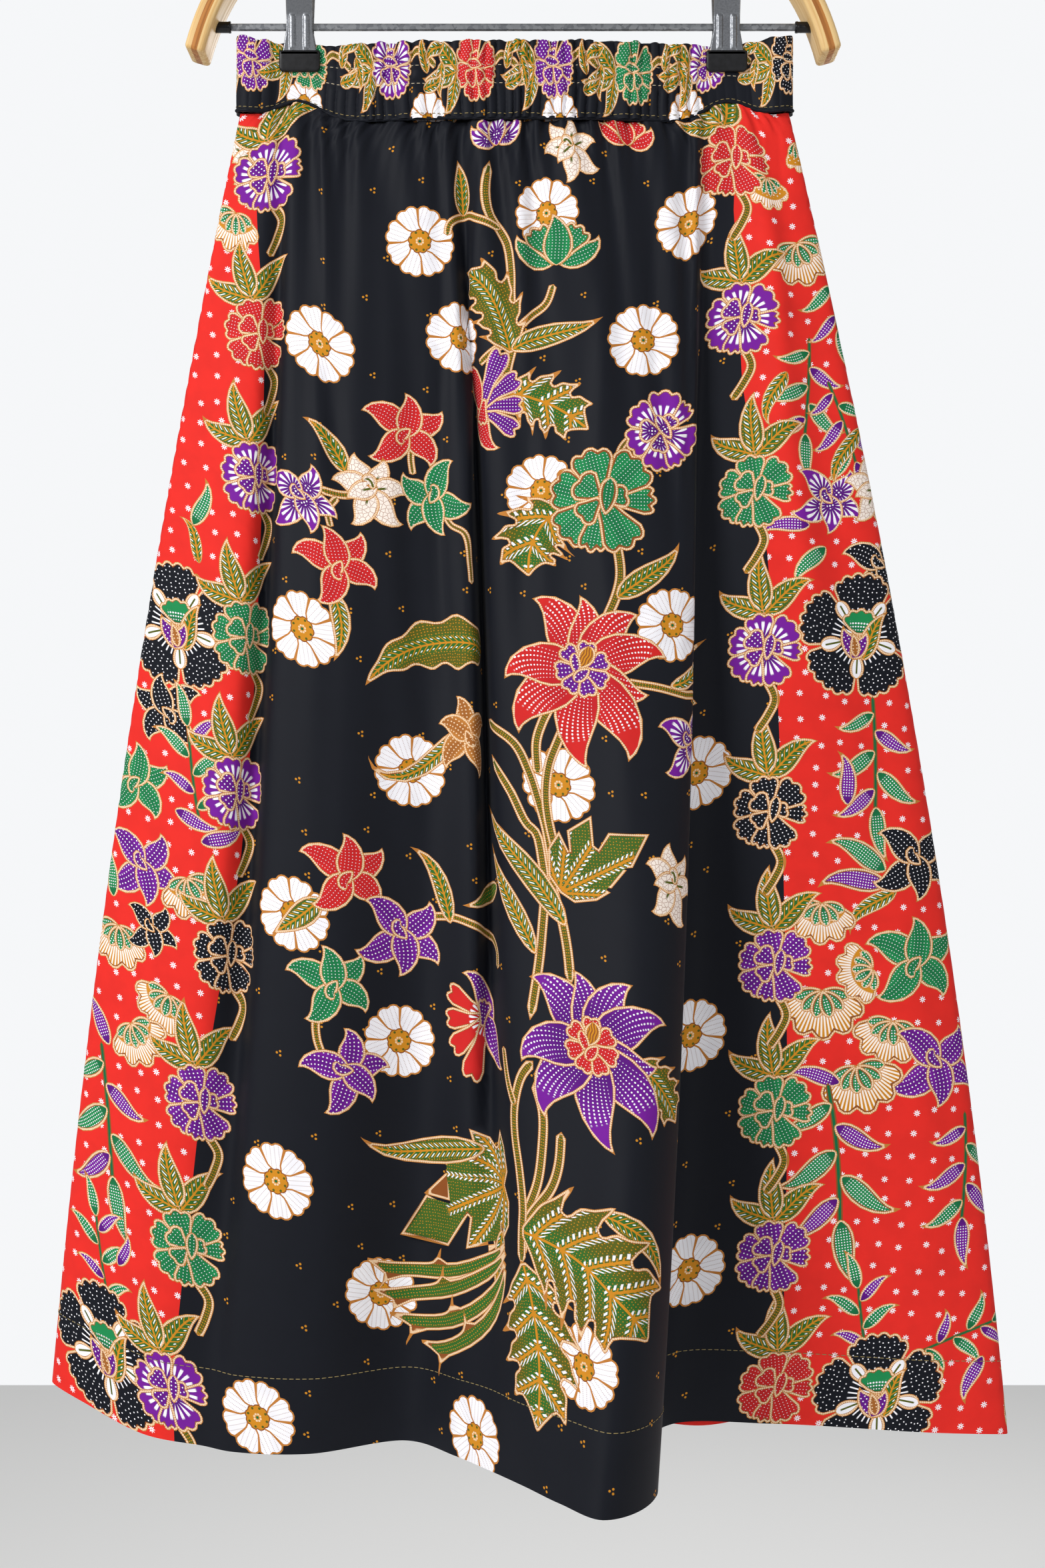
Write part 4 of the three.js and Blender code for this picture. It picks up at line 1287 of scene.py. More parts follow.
def rayed(name, ink, deep, first, last):
    """Rows of white dots that spread along a petal, larger further out."""
    sh, a, b = on_motif(name)
    reach, angle = sh.polar(sh.plus(a, 30.0), b)
    off = sh.times(sh.wrapped(angle, 0.05), reach)
    along = sh.wrapped(reach, 2.3)
    size = sh.math("MULTIPLY_ADD", sh.ramp(a, first, last), 0.34, 0.36)
    dot = sh.ramp(sh.minus(size, sh.length(off, along)), -0.12, 0.12)
    shown = sh.times(sh.ramp(a, last, last - 2.0), sh.ramp(sh.size(angle), 0.18, 0.17))
    ground = sh.mix(sh.ramp(a, last, first), INK[ink], INK[deep])
    return sh.cloth(sh.mix(sh.times(dot, shown), ground, INK["white"]))


def lined(name, ink, deep):
    """Straight rows of white dots along a small leaf."""
    sh, a, b = on_motif(name)
    dot = sh.length(sh.wrapped(a, 1.9), sh.wrapped(b, 1.9))
    shown = sh.times(sh.ramp(dot, 0.55, 0.35), sh.ramp(a, 6.0, 7.0))
    return sh.cloth(sh.mix(shown, sh.mix(sh.ramp(a, 12.0, 2.0), INK[ink], INK[deep]), INK["white"]))


def stroked(name):
    """A dark petal with white strokes at its foot and sparse dots beyond them."""
    sh, a, b = on_motif(name)
    reach, angle = sh.polar(a, b)
    off = sh.times(sh.size(sh.wrapped(angle, 0.16)), reach)
    stroke = sh.times(sh.ramp(off, 0.62, 0.38), sh.ramp(reach, 25.0, 24.0))
    near, _, _ = sh.spots(a, b, 3.4, 0.5)
    beyond = sh.times(sh.ramp(near, 0.55, 0.35), sh.ramp(reach, 26.0, 27.0))
    return sh.cloth(sh.mix(sh.math("MAXIMUM", stroke, beyond), INK["dark"], INK["white"]))


def striped(name):
    """Ochre with pale dots inside and a rim of pale stripes."""
    sh, a, b = on_motif(name)
    reach, angle = sh.polar(a, b)
    off = sh.times(sh.size(sh.wrapped(angle, 0.085)), reach)
    rim = sh.times(sh.ramp(off, 0.72, 0.5), sh.ramp(reach, 17.5, 18.5))
    near, _, _ = sh.spots(a, b, 2.6, 0.3)
    inside = sh.times(sh.ramp(near, 0.55, 0.4), sh.ramp(reach, 16.5, 15.5))
    return sh.cloth(sh.mix(sh.math("MAXIMUM", rim, inside), INK["ochre"], INK["ivory"]))


def pistil(name):
    """Rippled ochre and brown lines."""
    sh, a, b = on_motif(name)
    ripple = sh.times(sh.math("SINE", a), 0.25)
    line = sh.size(sh.wrapped(sh.plus(b, ripple), 1.9))
    return sh.cloth(sh.mix(sh.ramp(line, 0.55, 0.3), INK["ochre"], INK["brown"]))


def make_print():
    """Every material of the print, by the name that the parts use."""
    made = {}

    sh = Shader("print_dark_ground")
    x, y = sh.scattered(40.0, 0.7)
    nearest = None
    for dx, dy in ((-1.3, -0.3), (1.1, -1.3), (0.9, 1.4)):
        d = sh.length(sh.minus(x, dx), sh.minus(y, dy))
        nearest = d if nearest is None else sh.math("MINIMUM", nearest, d)
    made["ground"] = sh.cloth(sh.mix(sh.ramp(nearest, 0.95, 0.6), INK["dark"], INK["ochre"]), 0.62, 0.05)

    sh = Shader("print_red_border")
    x, y = sh.scattered(15.5, 0.3)
    reach = sh.length(x, y)
    lobes = sh.math("COSINE", sh.times(sh.math("ARCTAN2", y, x), 8.0))
    edge = sh.plus(1.65, sh.times(lobes, 0.75))
    star = sh.ramp(sh.minus(edge, reach), -0.15, 0.2)
    star = sh.times(star, sh.ramp(reach, 0.3, 0.5))
    made["border"] = sh.cloth(sh.mix(star, INK["red"], INK["white"]))

    sh, a, b = on_motif("print_bead_line")
    off = sh.times(sh.minus(b, 0.5), BEAD_LINE)
    bead = sh.length(sh.wrapped(a, BEAD_PITCH), off)
    line = sh.mix(sh.ramp(b, 0.6, 1.0), INK["gold"], INK["brown"])
    made["beads"] = sh.cloth(sh.mix(sh.ramp(bead, 0.78, 0.55), line, INK["cream"]))

    made["thin"] = Shader("print_thin_line").cloth(INK["brown"])
    made["plain"] = Shader("print_plain_line").cloth(INK["gold"])
    for key, build, *values in (
        ("red dots", dotted, "red petal", "red deep", "white", 2.1, 0.28),
        ("purple dots", dotted, "purple", "purple deep", "white", 2.5, 0.48),
        ("green dots", dotted, "green", "green deep", "white", 2.1, 0.32),
        ("dark dots", dotted, "dark", "dark", "white", 2.6, 0.42),
        ("ochre dots", dotted, "gold", "brown", "cream", 2.4, 0.5),
        ("purple fan", fanned, "purple", "purple deep"),
        ("red fan", fanned, "red petal", "red deep"),
        ("red rays", rayed, "red petal", "red deep", 16.0, 50.0),
        ("purple rays", rayed, "purple", "purple deep", 16.0, 50.0),
        ("green rays", rayed, "green", "green deep", 3.0, 12.0),
        ("green rows", lined, "green", "green deep"),
        ("purple rows", lined, "purple", "purple deep"),
        ("dark strokes", stroked),
        ("ochre stripes", striped),
        ("pistil", pistil),
    ):
        made[key] = build("print_" + key.replace(" ", "_"), *values)
    sh, a, b = on_motif("print_white_oval")
    rib = sh.times(sh.ramp(sh.size(b), 0.8, 0.5), sh.ramp(a, 14.0, 13.0))
    made["white oval"] = sh.cloth(sh.mix(rib, INK["white"], INK["olive"]))
    made["green plain"] = Shader("print_green_plain").cloth(INK["green deep"])
    made["leaf white"] = veined("print_leaf_dashes", "leaf", "olive", True)
    made["leaf dots"] = veined("print_leaf_dots", "leaf", "olive", False)
    made["leaf branches"] = branched("print_leaf_branches", False)
    made["leaf palm"] = branched("print_leaf_palm", True)

    sh, a, b = on_motif("print_leaf_plain")
    side = sh.size(b)
    near, _, _ = sh.spots(a, b, 2.1, 0.2)
    ground = sh.mix(sh.ramp(side, 1.0, 5.0), INK["leaf"], INK["olive"])
    made["leaf plain"] = sh.cloth(sh.mix(sh.ramp(near, 0.5, 0.3), ground, INK["ochre"]))

    sh, a, b = on_motif("print_stem")
    dot = sh.length(sh.wrapped(a, 1.9), sh.minus(sh.size(b), 0.7))
    made["stem"] = sh.cloth(sh.mix(sh.ramp(dot, 0.5, 0.3), INK["olive"], INK["ochre"]))

    sh, a, b = on_motif("print_white_petal")
    rows = sh.size(sh.wrapped(b, 3.0))
    gaps = sh.size(sh.wrapped(a, 1.1))
    dash = sh.times(sh.ramp(rows, 0.3, 0.15), sh.ramp(gaps, 0.3, 0.2))
    made["white lines"] = sh.cloth(sh.mix(sh.times(dash, 0.7), INK["white"], INK["brown"]))

    sh, a, b = on_motif("print_ivory_petal")
    edge = sh.texture("ShaderNodeTexVoronoi", sh.vector(a, b), {"Scale": 0.34},
                      voronoi_dimensions="2D", feature="DISTANCE_TO_EDGE")
    crackle = sh.ramp(edge.outputs["Distance"], 0.075, 0.03)
    vein = sh.times(sh.ramp(sh.size(b), 0.9, 0.6), sh.ramp(a, 12.0, 9.0))
    colour = sh.mix(sh.times(crackle, 0.75), INK["ivory"], INK["brown"])
    made["ivory"] = sh.cloth(sh.mix(vein, colour, INK["olive"]))

    sh = Shader("print_heart")
    reach, angle = sh.polar(*sh.uv("Motif"))
    colour = INK["ochre"]
    for ring, outer, inner, ink in ((6.4, 1.0, 0.7, "olive"), (2.2, 0.85, 0.6, "cream")):
        along = sh.times(sh.wrapped(angle, math.pi / 4), ring)
        dot = sh.length(along, sh.minus(reach, ring))
        colour = sh.mix(sh.ramp(dot, outer, inner), colour, INK[ink])
    made["heart"] = sh.cloth(sh.mix(sh.ramp(reach, 1.1, 0.8), colour, INK["green deep"]))
    return made


PRINT = make_print()
PRINT_KEYS = list(PRINT)

# Cloth meshes: how far the grid stays from the sides, as a share of its spacing, and from the top
# and bottom edge, how near two points are one, and the least area of a triangle, in millimetres
GRID_CLEAR = 0.7
EDGE_CLEAR = 1.2
WELD = 1e-4
LEAST_AREA = 1e-7


def flat_grid(half_width, bands):
    """Points of a staggered grid inside a flat piece. Bands give t from and to, and spacings."""
    rows = []
    for t_from, t_to, across, down in bands:
        for j, t in enumerate(np.arange(t_from, t_to, down)):
            half = half_at(half_width, t) - GRID_CLEAR * across
            s = np.arange(-half + (j % 2) * across / 2, half, across)
            rows.append(np.stack([s, np.full(len(s), t)], 1))
    return np.vstack(rows)


def printed_sheet(name, half_width, height, surface, normal, parts, bands, flip, bake, edge_step=4.0):
    """A cloth mesh whose faces are cut along its print, with a material for each kind of print."""
    t_edge = np.arange(0, height + 0.01, height / round(height / edge_step))
    right = np.stack([half_width(t_edge), t_edge], 1)
    left = np.stack([-half_width(t_edge), t_edge], 1)[::-1]
    across = bands[0][2]

    def level(t):
        half = half_at(half_width, t)
        return np.stack([np.linspace(-half, half, int(2 * half / across))[1:-1]] * 2, 1) * [1, 0] + [0, t]

    edge = np.vstack([level(0), right, level(height)[::-1], left])
    vertices = [edge]
    faces = [list(range(len(edge)))]
    labels = [(-1, False)]
    count = len(edge)

    def add(outline, label):
        nonlocal count
        x, y = outline.T
        if (x * np.roll(y, -1) - y * np.roll(x, -1)).sum() < 0:
            outline = outline[::-1]
        vertices.append(outline)
        faces.append(list(range(count, count + len(outline))))
        labels.append(label)
        count += len(outline)

    for index, part in enumerate(parts):
        add(part.outer, (index, False))
        if len(part.inner) > 2:
            add(part.inner, (index, True))
    inside = flat_grid(half_width, bands)
    inside = inside[(inside[:, 1] > EDGE_CLEAR) & (inside[:, 1] < height - EDGE_CLEAR)]
    vertices.append(inside)
    flat_in = np.vstack(vertices)
    result = delaunay_2d_cdt([Vector(v) for v in flat_in.tolist()], [], faces, 0, WELD, True)
    flat = np.array([tuple(v) for v in result[0]])
    source = [max(f) if 0 in f else -1 for f in result[5]]
    triangles = np.array(result[2])
    source = np.array(source)
    triangles, source = triangles[source >= 0], source[source >= 0]
    corners = flat[triangles]
    area = (corners[:, 1, 0] - corners[:, 0, 0]) * (corners[:, 2, 1] - corners[:, 0, 1])
    area -= (corners[:, 2, 0] - corners[:, 0, 0]) * (corners[:, 1, 1] - corners[:, 0, 1])
    real = np.abs(area) > LEAST_AREA
    triangles, source, area = triangles[real], source[real], area[real]
    wrong = (area > 0) != flip
    triangles[wrong] = triangles[wrong][:, ::-1]
    used = np.unique(triangles)
    renumber = np.full(len(flat), -1)
    renumber[used] = np.arange(len(used))
    flat, triangles = flat[used], renumber[triangles]
    corners = flat[triangles]

    motif = np.zeros((len(triangles), 3, 2))
    slot = np.full(len(triangles), PRINT_KEYS.index("ground"))
    order = np.argsort(source, kind="stable")
    starts = np.searchsorted(source[order], np.arange(1, len(faces)))
    stops = np.searchsorted(source[order], np.arange(1, len(faces)), side="right")
    for face, first, last in zip(range(1, len(faces)), starts, stops):
        if first == last:
            continue
        mine = order[first:last]
        index, is_inner = labels[face]
        part = parts[index]
        points = corners[mine].reshape(-1, 2)
        has_line = part.line != part.fill
        if has_line and not is_inner:
            along, off, total = nearest_on(points, part.outer, True)
            along = along.reshape(-1, 3)
            wraps = (along.max(1) - along.min(1)) > total / 2
            along[wraps] = np.where(along[wraps] < total / 2, along[wraps] + total, along[wraps])
            depth = np.abs(off).reshape(-1, 3) / part.line_width
            motif[mine] = np.stack([along, depth], -1)
            slot[mine] = PRINT_KEYS.index(part.line)
            continue
        slot[mine] = PRINT_KEYS.index(part.fill)
        if len(part.spine) > 1:
            along, off, _ = nearest_on(points, part.spine, False)
            values = np.stack([along, off], -1) / part.unit
        else:
            values = (points - part.spine[0]) / part.unit
        motif[mine] = values.reshape(-1, 3, 2)

    places = surface(flat[:, 0], flat[:, 1])
    normals = normal(flat[:, 0], flat[:, 1])
    mesh = bpy.data.meshes.new(name)
    mesh.from_pydata((places * MM).tolist(), [], triangles.tolist())
    for key in PRINT_KEYS:
        mesh.materials.append(PRINT[key])
    mesh.polygons.foreach_set("material_index", slot.astype(np.int32))
    mesh.polygons.foreach_set("use_smooth", np.ones(len(triangles), bool))
    for layer, values in (("Flat", corners), ("Motif", motif), ("OFBake", bake(corners))):
        mesh.uv_layers.new(name=layer, do_init=False)
        mesh.uv_layers[layer].uv.foreach_set("vector", values.astype(np.float32).ravel())
    mesh.normals_split_custom_set_from_vertices(normals.tolist())
    obj = bpy.data.objects.new(name, mesh)
    bpy.context.collection.objects.link(obj)
    return obj


def bake_layout(wide, high, above):
    """A function that lays a flat piece out on a square picture of a width and height in mm."""
    return lambda corners: np.stack([0.5 + corners[..., 0] / wide, 1 - (corners[..., 1] + above) / high], -1)


def added(piece):
    """Puts a piece on the root."""
    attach(piece, "root")
    return piece


def stands_for(piece, node):
    """Puts a finer piece in a node's place."""
    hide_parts(node)
    return added(piece)


PANEL_BANDS = ((4, 60, 2.6, 5.0), (60, 150, 3.6, 7.0), (150, CLOTH_LONG, 4.4, 8.0))
PANEL_BAKE = bake_layout(940, 940, 12)

front_parts = front_print()
skirt_front = printed_sheet("skirt_front", front.half_width, CLOTH_LONG, front.point, front.normal,
                            front_parts, PANEL_BANDS, False, PANEL_BAKE)
skirt_back = printed_sheet("skirt_back", back.half_width, CLOTH_LONG, back.point, back.normal,
                           back_print(front_parts), PANEL_BANDS, True, PANEL_BAKE)
stands_for(skirt_front, "front_panel")
stands_for(skirt_back, "back_panel")


# Waistband
BAND_HIGH = BAND_TOP_Z - SEAM_Z
BAND_INSIDE = 14
BAND_FULLNESS = 1.5
BAND_SQUEEZE = 0.85
BAND_PITCH = 7.5
BAND_CREST = 4.2
BAND_FOLD = 1.2
STITCH_ROWS = (17.3, 29.5)
LOWER_ROW = 50.5

# Stitches, each with a length and a width, their pitch and how far from the cloth's end they stay
BAND_STITCH = (2.3, 0.5)
LOWER_STITCH = (2.5, 0.55)
HEM_STITCH = (3.1, 0.55)
BAND_STITCH_PITCH = 5.6
HEM_STITCH_PITCH = 4.3
STITCH_END = 6
HEM_STITCH_END = 3
ROW_SHIFT = 1.3

# The rolled edge of the waistband, and the hem's turned-up strip
ROLL_RADIUS = 1.25
ROLL_PITCH = 5.1
HEM_INSIDE = 0.9
HEM_NARROWER = 0.5


def band_line(bow):
    """The band seen from above as x and depth, flat where the clips hold it."""
    held = CLIPPED_OUT
    return np.array([
        (-188, SEAM_OUT), (-189, 4), (-182, 8), (-174, 6.5), (-167, 3.8),
        (-162, held), (-146, held), (-130, held), (-124, 3.8), (-111, 6),
        (-62, bow - 1.6), (0, bow), (62, bow - 1.6),
        (111, 6), (124, 3.8), (130, held), (146, held), (162, held),
        (167, 3.8), (175, 6.5), (183, 8), (191, 4), (190, SEAM_OUT),
    ])


class Band:
    """One side of the waistband. Flat places on its cloth are s, across from its middle, and t,
    down from the inner edge of its turned top; its top fold is at BAND_INSIDE."""

    def __init__(self, bow, side):
        self.side = side
        line = band_line(bow)
        self.line = along_curve(line, np.linspace(0, len(line) - 1, 2400))
        reach = reach_along(self.line)
        self.reach = reach / reach[-1]
        self.half = BAND_FULLNESS * reach[-1] / 2
        self.height = BAND_INSIDE + BAND_HIGH

    def half_width(self, t):
        return np.full(np.shape(t), self.half)

    def base(self, s):
        share = np.clip(s / (2 * self.half) + 0.5, 0, 1)
        return np.stack([np.interp(share, self.reach, self.line[:, k]) for k in (0, 1)], 1)

    def gathers(self, x, down):
        turns = x / BAND_PITCH + 0.5 * np.sin(x / 19) + 0.22 * np.sin(x / 7.3)
        turns = turns + 0.1 * np.sin(down / 9 + x / 31)
        uneven = 0.72 + 0.28 * np.sin(x / 5.7 + 1.3 * np.sin(x / 13)) + 0.12 * np.sin(down / 7 + x / 11)
        crest = np.abs(np.sin(np.pi * turns)) ** 0.5 * uneven
        held = np.maximum(np.minimum(1, 1.6 * near_clip(x, 20)), end_share(x))
        pinch = sum(bump(down - row, 2.6) for row in STITCH_ROWS)
        frill = 1 + 0.3 * np.exp(-np.maximum(down, 0) / 5)
        return BAND_CREST * crest * (1 - 0.85 * held) * (1 - 0.6 * np.minimum(pinch, 1)) * frill

    def point(self, s, t):
        line = self.base(s)
        across = normed(self.base(s + 0.9) - self.base(s - 0.9))
        x = line[:, 0]
        down = t - BAND_INSIDE
        shown = 0.5 + 0.5 * np.tanh(down / BAND_FOLD)
        off = self.gathers(x, down) * (0.35 + 0.65 * shown) - 2 * BAND_FOLD * (1 - shown)
        high = band_top_z(x) - seam_z(x)
        frill = 0.7 * np.sin(x / 3.1 + 2 * np.sin(x / 13)) * np.exp(-((down / 4) ** 2))
        z = band_top_z(x) + frill - (np.sqrt(down**2 + 0.3) - 0.55) * high / BAND_HIGH
        y = self.side * (line[:, 1] + across[:, 0] * off)
        return np.stack([x - across[:, 1] * off, y, z], 1)

    def normal(self, s, t):
        ends = (-self.half, self.half), (0, self.height)
        return face_normals(self.point, s, t, *ends, self.side, 0.7, 0.6)

    def place(self, px, py):
        """The flat place that shows at a pixel of the photograph."""
        away = CAMERA_AWAY - 10
        x = (px - FRAME_WIDE / 2) / FOCAL_PIXELS * away + CAMERA_X
        z = CAMERA_Z - (py - FRAME_HIGH / 2) / FOCAL_PIXELS * away
        share = np.interp(x, self.line[40:-40, 0], self.reach[40:-40])
        return (share - 0.5) * 2 * self.half, BAND_INSIDE + band_top_z(x) - z


# The print of the waistband, by the pixel of the photograph at each motif's centre
BAND_MOTIFS = (
    ("white", 455, 178, 0.9, 0),
    ("white", 643, 190, 0.9, 20),
    ("white", 840, 192, 0.9, 0),
    ("white", 1030, 184, 0.9, 10),
    ("purple dotted guard", 378, 90, 0.92, 90),
    ("green guard", 460, 100, 0.92, 90),
    ("purple guard", 588, 102, 0.92, 90),
    ("red guard", 714, 108, 0.92, 90),
    ("purple dotted guard", 830, 104, 0.92, 90),
    ("green guard", 950, 112, 0.92, 90),
    ("purple guard", 1062, 98, 0.92, 90),
    ("dark guard", 1186, 92, 0.92, 90),
    ("band leaves", 524, 96, 0.8, 0),
    ("band leaves", 652, 104, 0.8, 180),
    ("band leaves", 772, 102, 0.8, 0),
    ("band leaves", 890, 108, 0.8, 180),
    ("band leaves", 1008, 102, 0.8, 0),
    ("band leaves", 1124, 96, 0.8, 180),
)

BAND_BANDS = ((1.5, 69, 1.35, 1.9),)
BAND_BAKE = bake_layout(720, 72, 1)


def make_band(name, band, flip):
    parts = []
    for kind, px, py, size, turn in BAND_MOTIFS:
        parts += moved(FLOWERS[kind](), *band.place(px, py), turn, size, BAND_SQUEEZE)
    return printed_sheet(name, band.half_width, band.height, band.point, band.normal, parts,
                         BAND_BANDS, flip, BAND_BAKE, 1.9)


# Meshes from rings of points, for cords, bars and the hanger
def mesh_object(name, points, faces, material):
    mesh = bpy.data.meshes.new(name)
    mesh.from_pydata((np.asarray(points) * MM).tolist(), [], faces)
    mesh.polygons.foreach_set("use_smooth", np.ones(len(mesh.polygons), bool))
    mesh.materials.append(material)
    obj = bpy.data.objects.new(name, mesh)
    bpy.context.collection.objects.link(obj)
    return obj


def ring_faces(rings, count, start=0):
    faces = []
    for r in range(rings - 1):
        for k in range(count):
            a, b = start + r * count + k, start + r * count + (k + 1) % count
            faces.append((a, b, b + count, a + count))
    faces.append(tuple(range(start, start + count))[::-1])
    faces.append(tuple(range(start + (rings - 1) * count, start + rings * count)))
    return faces


def skin(name, rings, material):
    """A closed body over a list of rings with the same number of points."""
    rings = np.asarray(rings)
    return mesh_object(name, rings.reshape(-1, 3), ring_faces(len(rings), rings.shape[1]), material)


# How a wire's end is rounded: how far out and how wide, as shares of its radius
WIRE_END = [(0.7, 0.72), (0.95, 0.3)]

# How a stitch is rounded: how far along it and how thick, as shares
STITCH_SHAPE = ((-0.5, 0.45), (-0.34, 1), (0.34, 1), (0.5, 0.45))
STITCH_FLAT = 0.8
STITCH_SIDES = 6


def tube_rings(points, radius, sides):
    """Rings of a round wire along a line, rounded at both ends."""
    points = np.asarray(points, float)
    along = normed(np.gradient(points, axis=0))
    side = np.cross(along[0], (0.3, 0.9, 0.31))
    rings = []
    angle = np.linspace(0, 2 * np.pi, sides, endpoint=False)
    last = len(points) - 1
    for i, (p, a) in enumerate(zip(points, along)):
        side = side - a * (side @ a)
        side /= np.linalg.norm(side)
        up = np.cross(a, side)
        round_section = np.outer(np.cos(angle), side) + np.outer(np.sin(angle), up)
        steps = [(0, 1.0)]
        if i == 0:
            steps = [(-forward, size) for forward, size in WIRE_END[::-1]] + steps
        if i == last:
            steps += WIRE_END
        for forward, size in steps:
            rings.append(p + a * forward * radius + round_section * radius * size)
    return rings


def tube(name, points, radius, sides, material):
    return skin(name, tube_rings(points, radius, sides), material)


def dashes(name, centres, along, normals, long, wide, material):
    """Stitches as one mesh: a small rounded bar at each place, laid along the cloth."""
    rings = []
    angle = np.linspace(0, 2 * np.pi, STITCH_SIDES, endpoint=False)
    side = np.cross(along, normals)
    for forward, size in STITCH_SHAPE:
        ring = (centres[:, None] + along[:, None] * forward * long
                + np.cos(angle)[None, :, None] * side[:, None] * wide / 2 * size
                + np.sin(angle)[None, :, None] * normals[:, None] * wide / 2 * size * STITCH_FLAT)
        rings.append(ring)
    points = np.stack(rings, 1)
    faces = []
    for i in range(len(centres)):
        faces += ring_faces(len(STITCH_SHAPE), STITCH_SIDES, i * len(STITCH_SHAPE) * STITCH_SIDES)
    return mesh_object(name, points.reshape(-1, 3), faces, material)


def stitch_row(name, cloth, s, t, size, material, proud=0.1):
    """A row of stitches across a cloth, each with a length and a width."""
    t = np.full(len(s), float(t))
    centres = cloth.point(s, t)
    normals = cloth.normal(s, t)
    along = normed(cloth.point(s + 0.8, t) - cloth.point(s - 0.8, t))
    return dashes(name, centres + normals * proud, along, normals, *size, material)


# Thread, wood, metal and vinyl
def thread(name, colour):
    sh = Shader(name)
    coords = sh.node("ShaderNodeTexCoord").outputs["Object"]
    twist_shade_bands = sh.texture("ShaderNodeTexWave", coords, {"Scale": 900}, wave_type="BANDS",
                       bands_direction="DIAGONAL")
    # The grooves of the thread's twist are painted shade: diagonal bands of a copy of its colour darkened to
    # 45%.
    shade = tuple(0.45 * c for c in colour[:3]) + (1,)
    sh.look({"Base Color": sh.mix(sh.times(twist_shade_bands.outputs[1], 0.4), colour, shade),
             "Roughness": 0.55})
    return sh.material


def wood():
    """Pale laminated wood with a darker layer down the middle of its thickness."""
    sh = Shader("wood_laminated")
    along, off = sh.uv("Motif")
    deep = sh.node("ShaderNodeSeparateXYZ")
    sh.put(deep.inputs[0], sh.node("ShaderNodeTexCoord").outputs["Object"])
    at = sh.vector(sh.times(along, 0.012), sh.times(off, 0.55),
                   sh.times(deep.outputs[1], 420.0))
    grain = sh.texture("ShaderNodeTexNoise", at, {"Scale": 1.0, "Detail": 6, "Distortion": 0.6})
    share = sh.ramp(grain.outputs[0], 0.35, 0.7)
    pale = sh.mix(share, linear(228, 194, 136), linear(206, 164, 102))
    dark = sh.mix(share, linear(190, 126, 62), linear(150, 92, 40))
    layer = sh.ramp(sh.size(off), 2.3, 2.0)
    sh.relief(grain.outputs[0], 0.05)
    sh.look({"Base Color": sh.mix(layer, pale, dark), "Specular IOR Level": 0.3,
             "Roughness": sh.math("MULTIPLY_ADD", share, 0.14, 0.36)})
    return sh.material


def metal(name, light, dark, rough, speck, spangle=False):
    """Bare metal with fine marks, or with the flakes of a zinc coat."""
    sh = Shader(name)
    coords = sh.node("ShaderNodeTexCoord").outputs["Object"]
    marks = sh.texture("ShaderNodeTexVoronoi" if spangle else "ShaderNodeTexNoise", coords, {"Scale": speck})
    value = marks.outputs["Color"] if spangle else marks.outputs[0]
    share = sh.ramp(sh.plus(value, 0.0), 0.25, 0.8)
    sh.relief(share, 0.08)
    sh.look({"Base Color": sh.mix(share, light, dark), "Metallic": 1.0,
             "Roughness": sh.math("MULTIPLY_ADD", share, 0.16, rough)})
    return sh.material


def vinyl(name, rough):
    """Black vinyl with the soft ripples of a dipped coat."""
    sh = Shader(name)
    coords = sh.node("ShaderNodeTexCoord").outputs["Object"]
    dips = sh.texture("ShaderNodeTexNoise", coords, {"Scale": 260, "Detail": 3})
    share = sh.ramp(dips.outputs[0], 0.3, 0.7)
    sh.relief(dips.outputs[0], 0.2, 0.0003)
    sh.look({"Base Color": sh.mix(share, linear(12, 12, 14), linear(20, 20, 23)), "Specular IOR Level": 0.3,
             "Roughness": sh.math("MULTIPLY_ADD", share, 0.1, rough)})
    return sh.material


WOOD = wood()
GALVANISED = metal("bar_galvanised", linear(150, 152, 155), linear(112, 114, 118), 0.4, 420, True)
CLIP_STEEL = metal("clip_satin_steel", linear(134, 136, 140), linear(108, 110, 114), 0.34, 900)
SPRING_STEEL = metal("spring_bright_steel", linear(206, 196, 170), linear(170, 156, 122), 0.2, 1200)
HOOK_WIRE = metal("hook_polished_wire", linear(208, 208, 210), linear(186, 186, 190), 0.14, 700)
VINYL = vinyl("vinyl_dipped", 0.42)
GLOSSY = vinyl("socket_gloss", 0.16)
PALE_THREAD = thread("thread_pale", linear(206, 190, 160))
GOLD_THREAD = thread("thread_gold", linear(150, 132, 84))

# Hanger, in millimetres, as its solids are made
ARCH = {"top_z": -92, "shoulder_x": 100, "elbow_x": 188, "elbow_z": -110, "end_x": 216, "end_z": -213}
ARM_THICK = 14
ARM_DEEP = 34
ARM_EDGE = 2.5
# How the arm's ends are rounded: how far out and how far in, as shares of its edge
ARM_ROUNDING = ((1, 0.9), (0.86, 0.5), (0.5, 0.16))
ARM_INNER_X = 204.2
SOCKET_LONG = 16
SOCKET_SUNK = 5
ROD_HIGH = 4.6
ROD_DEEP = 3
ROD_CORNER = 0.7
WIRE_RADIUS = 1.75
HOOK_INNER_RADIUS = 21
HOOK_FROM = -58
HOOK_TO = 205
STEM_SUNK = 9


def rounded_section(wide, high, radius, per_corner=5):
    """A rounded rectangle about the origin, as pairs."""
    points = []
    turn = np.linspace(0, np.pi / 2, per_corner)
    for k, (cx, cy) in enumerate(((1, 1), (-1, 1), (-1, -1), (1, -1))):
        angle = turn + k * np.pi / 2
        centre = (cx * (wide / 2 - radius), cy * (high / 2 - radius))
        points += [(centre[0] + radius * math.cos(a), centre[1] + radius * math.sin(a)) for a in angle]
    return np.array(points)


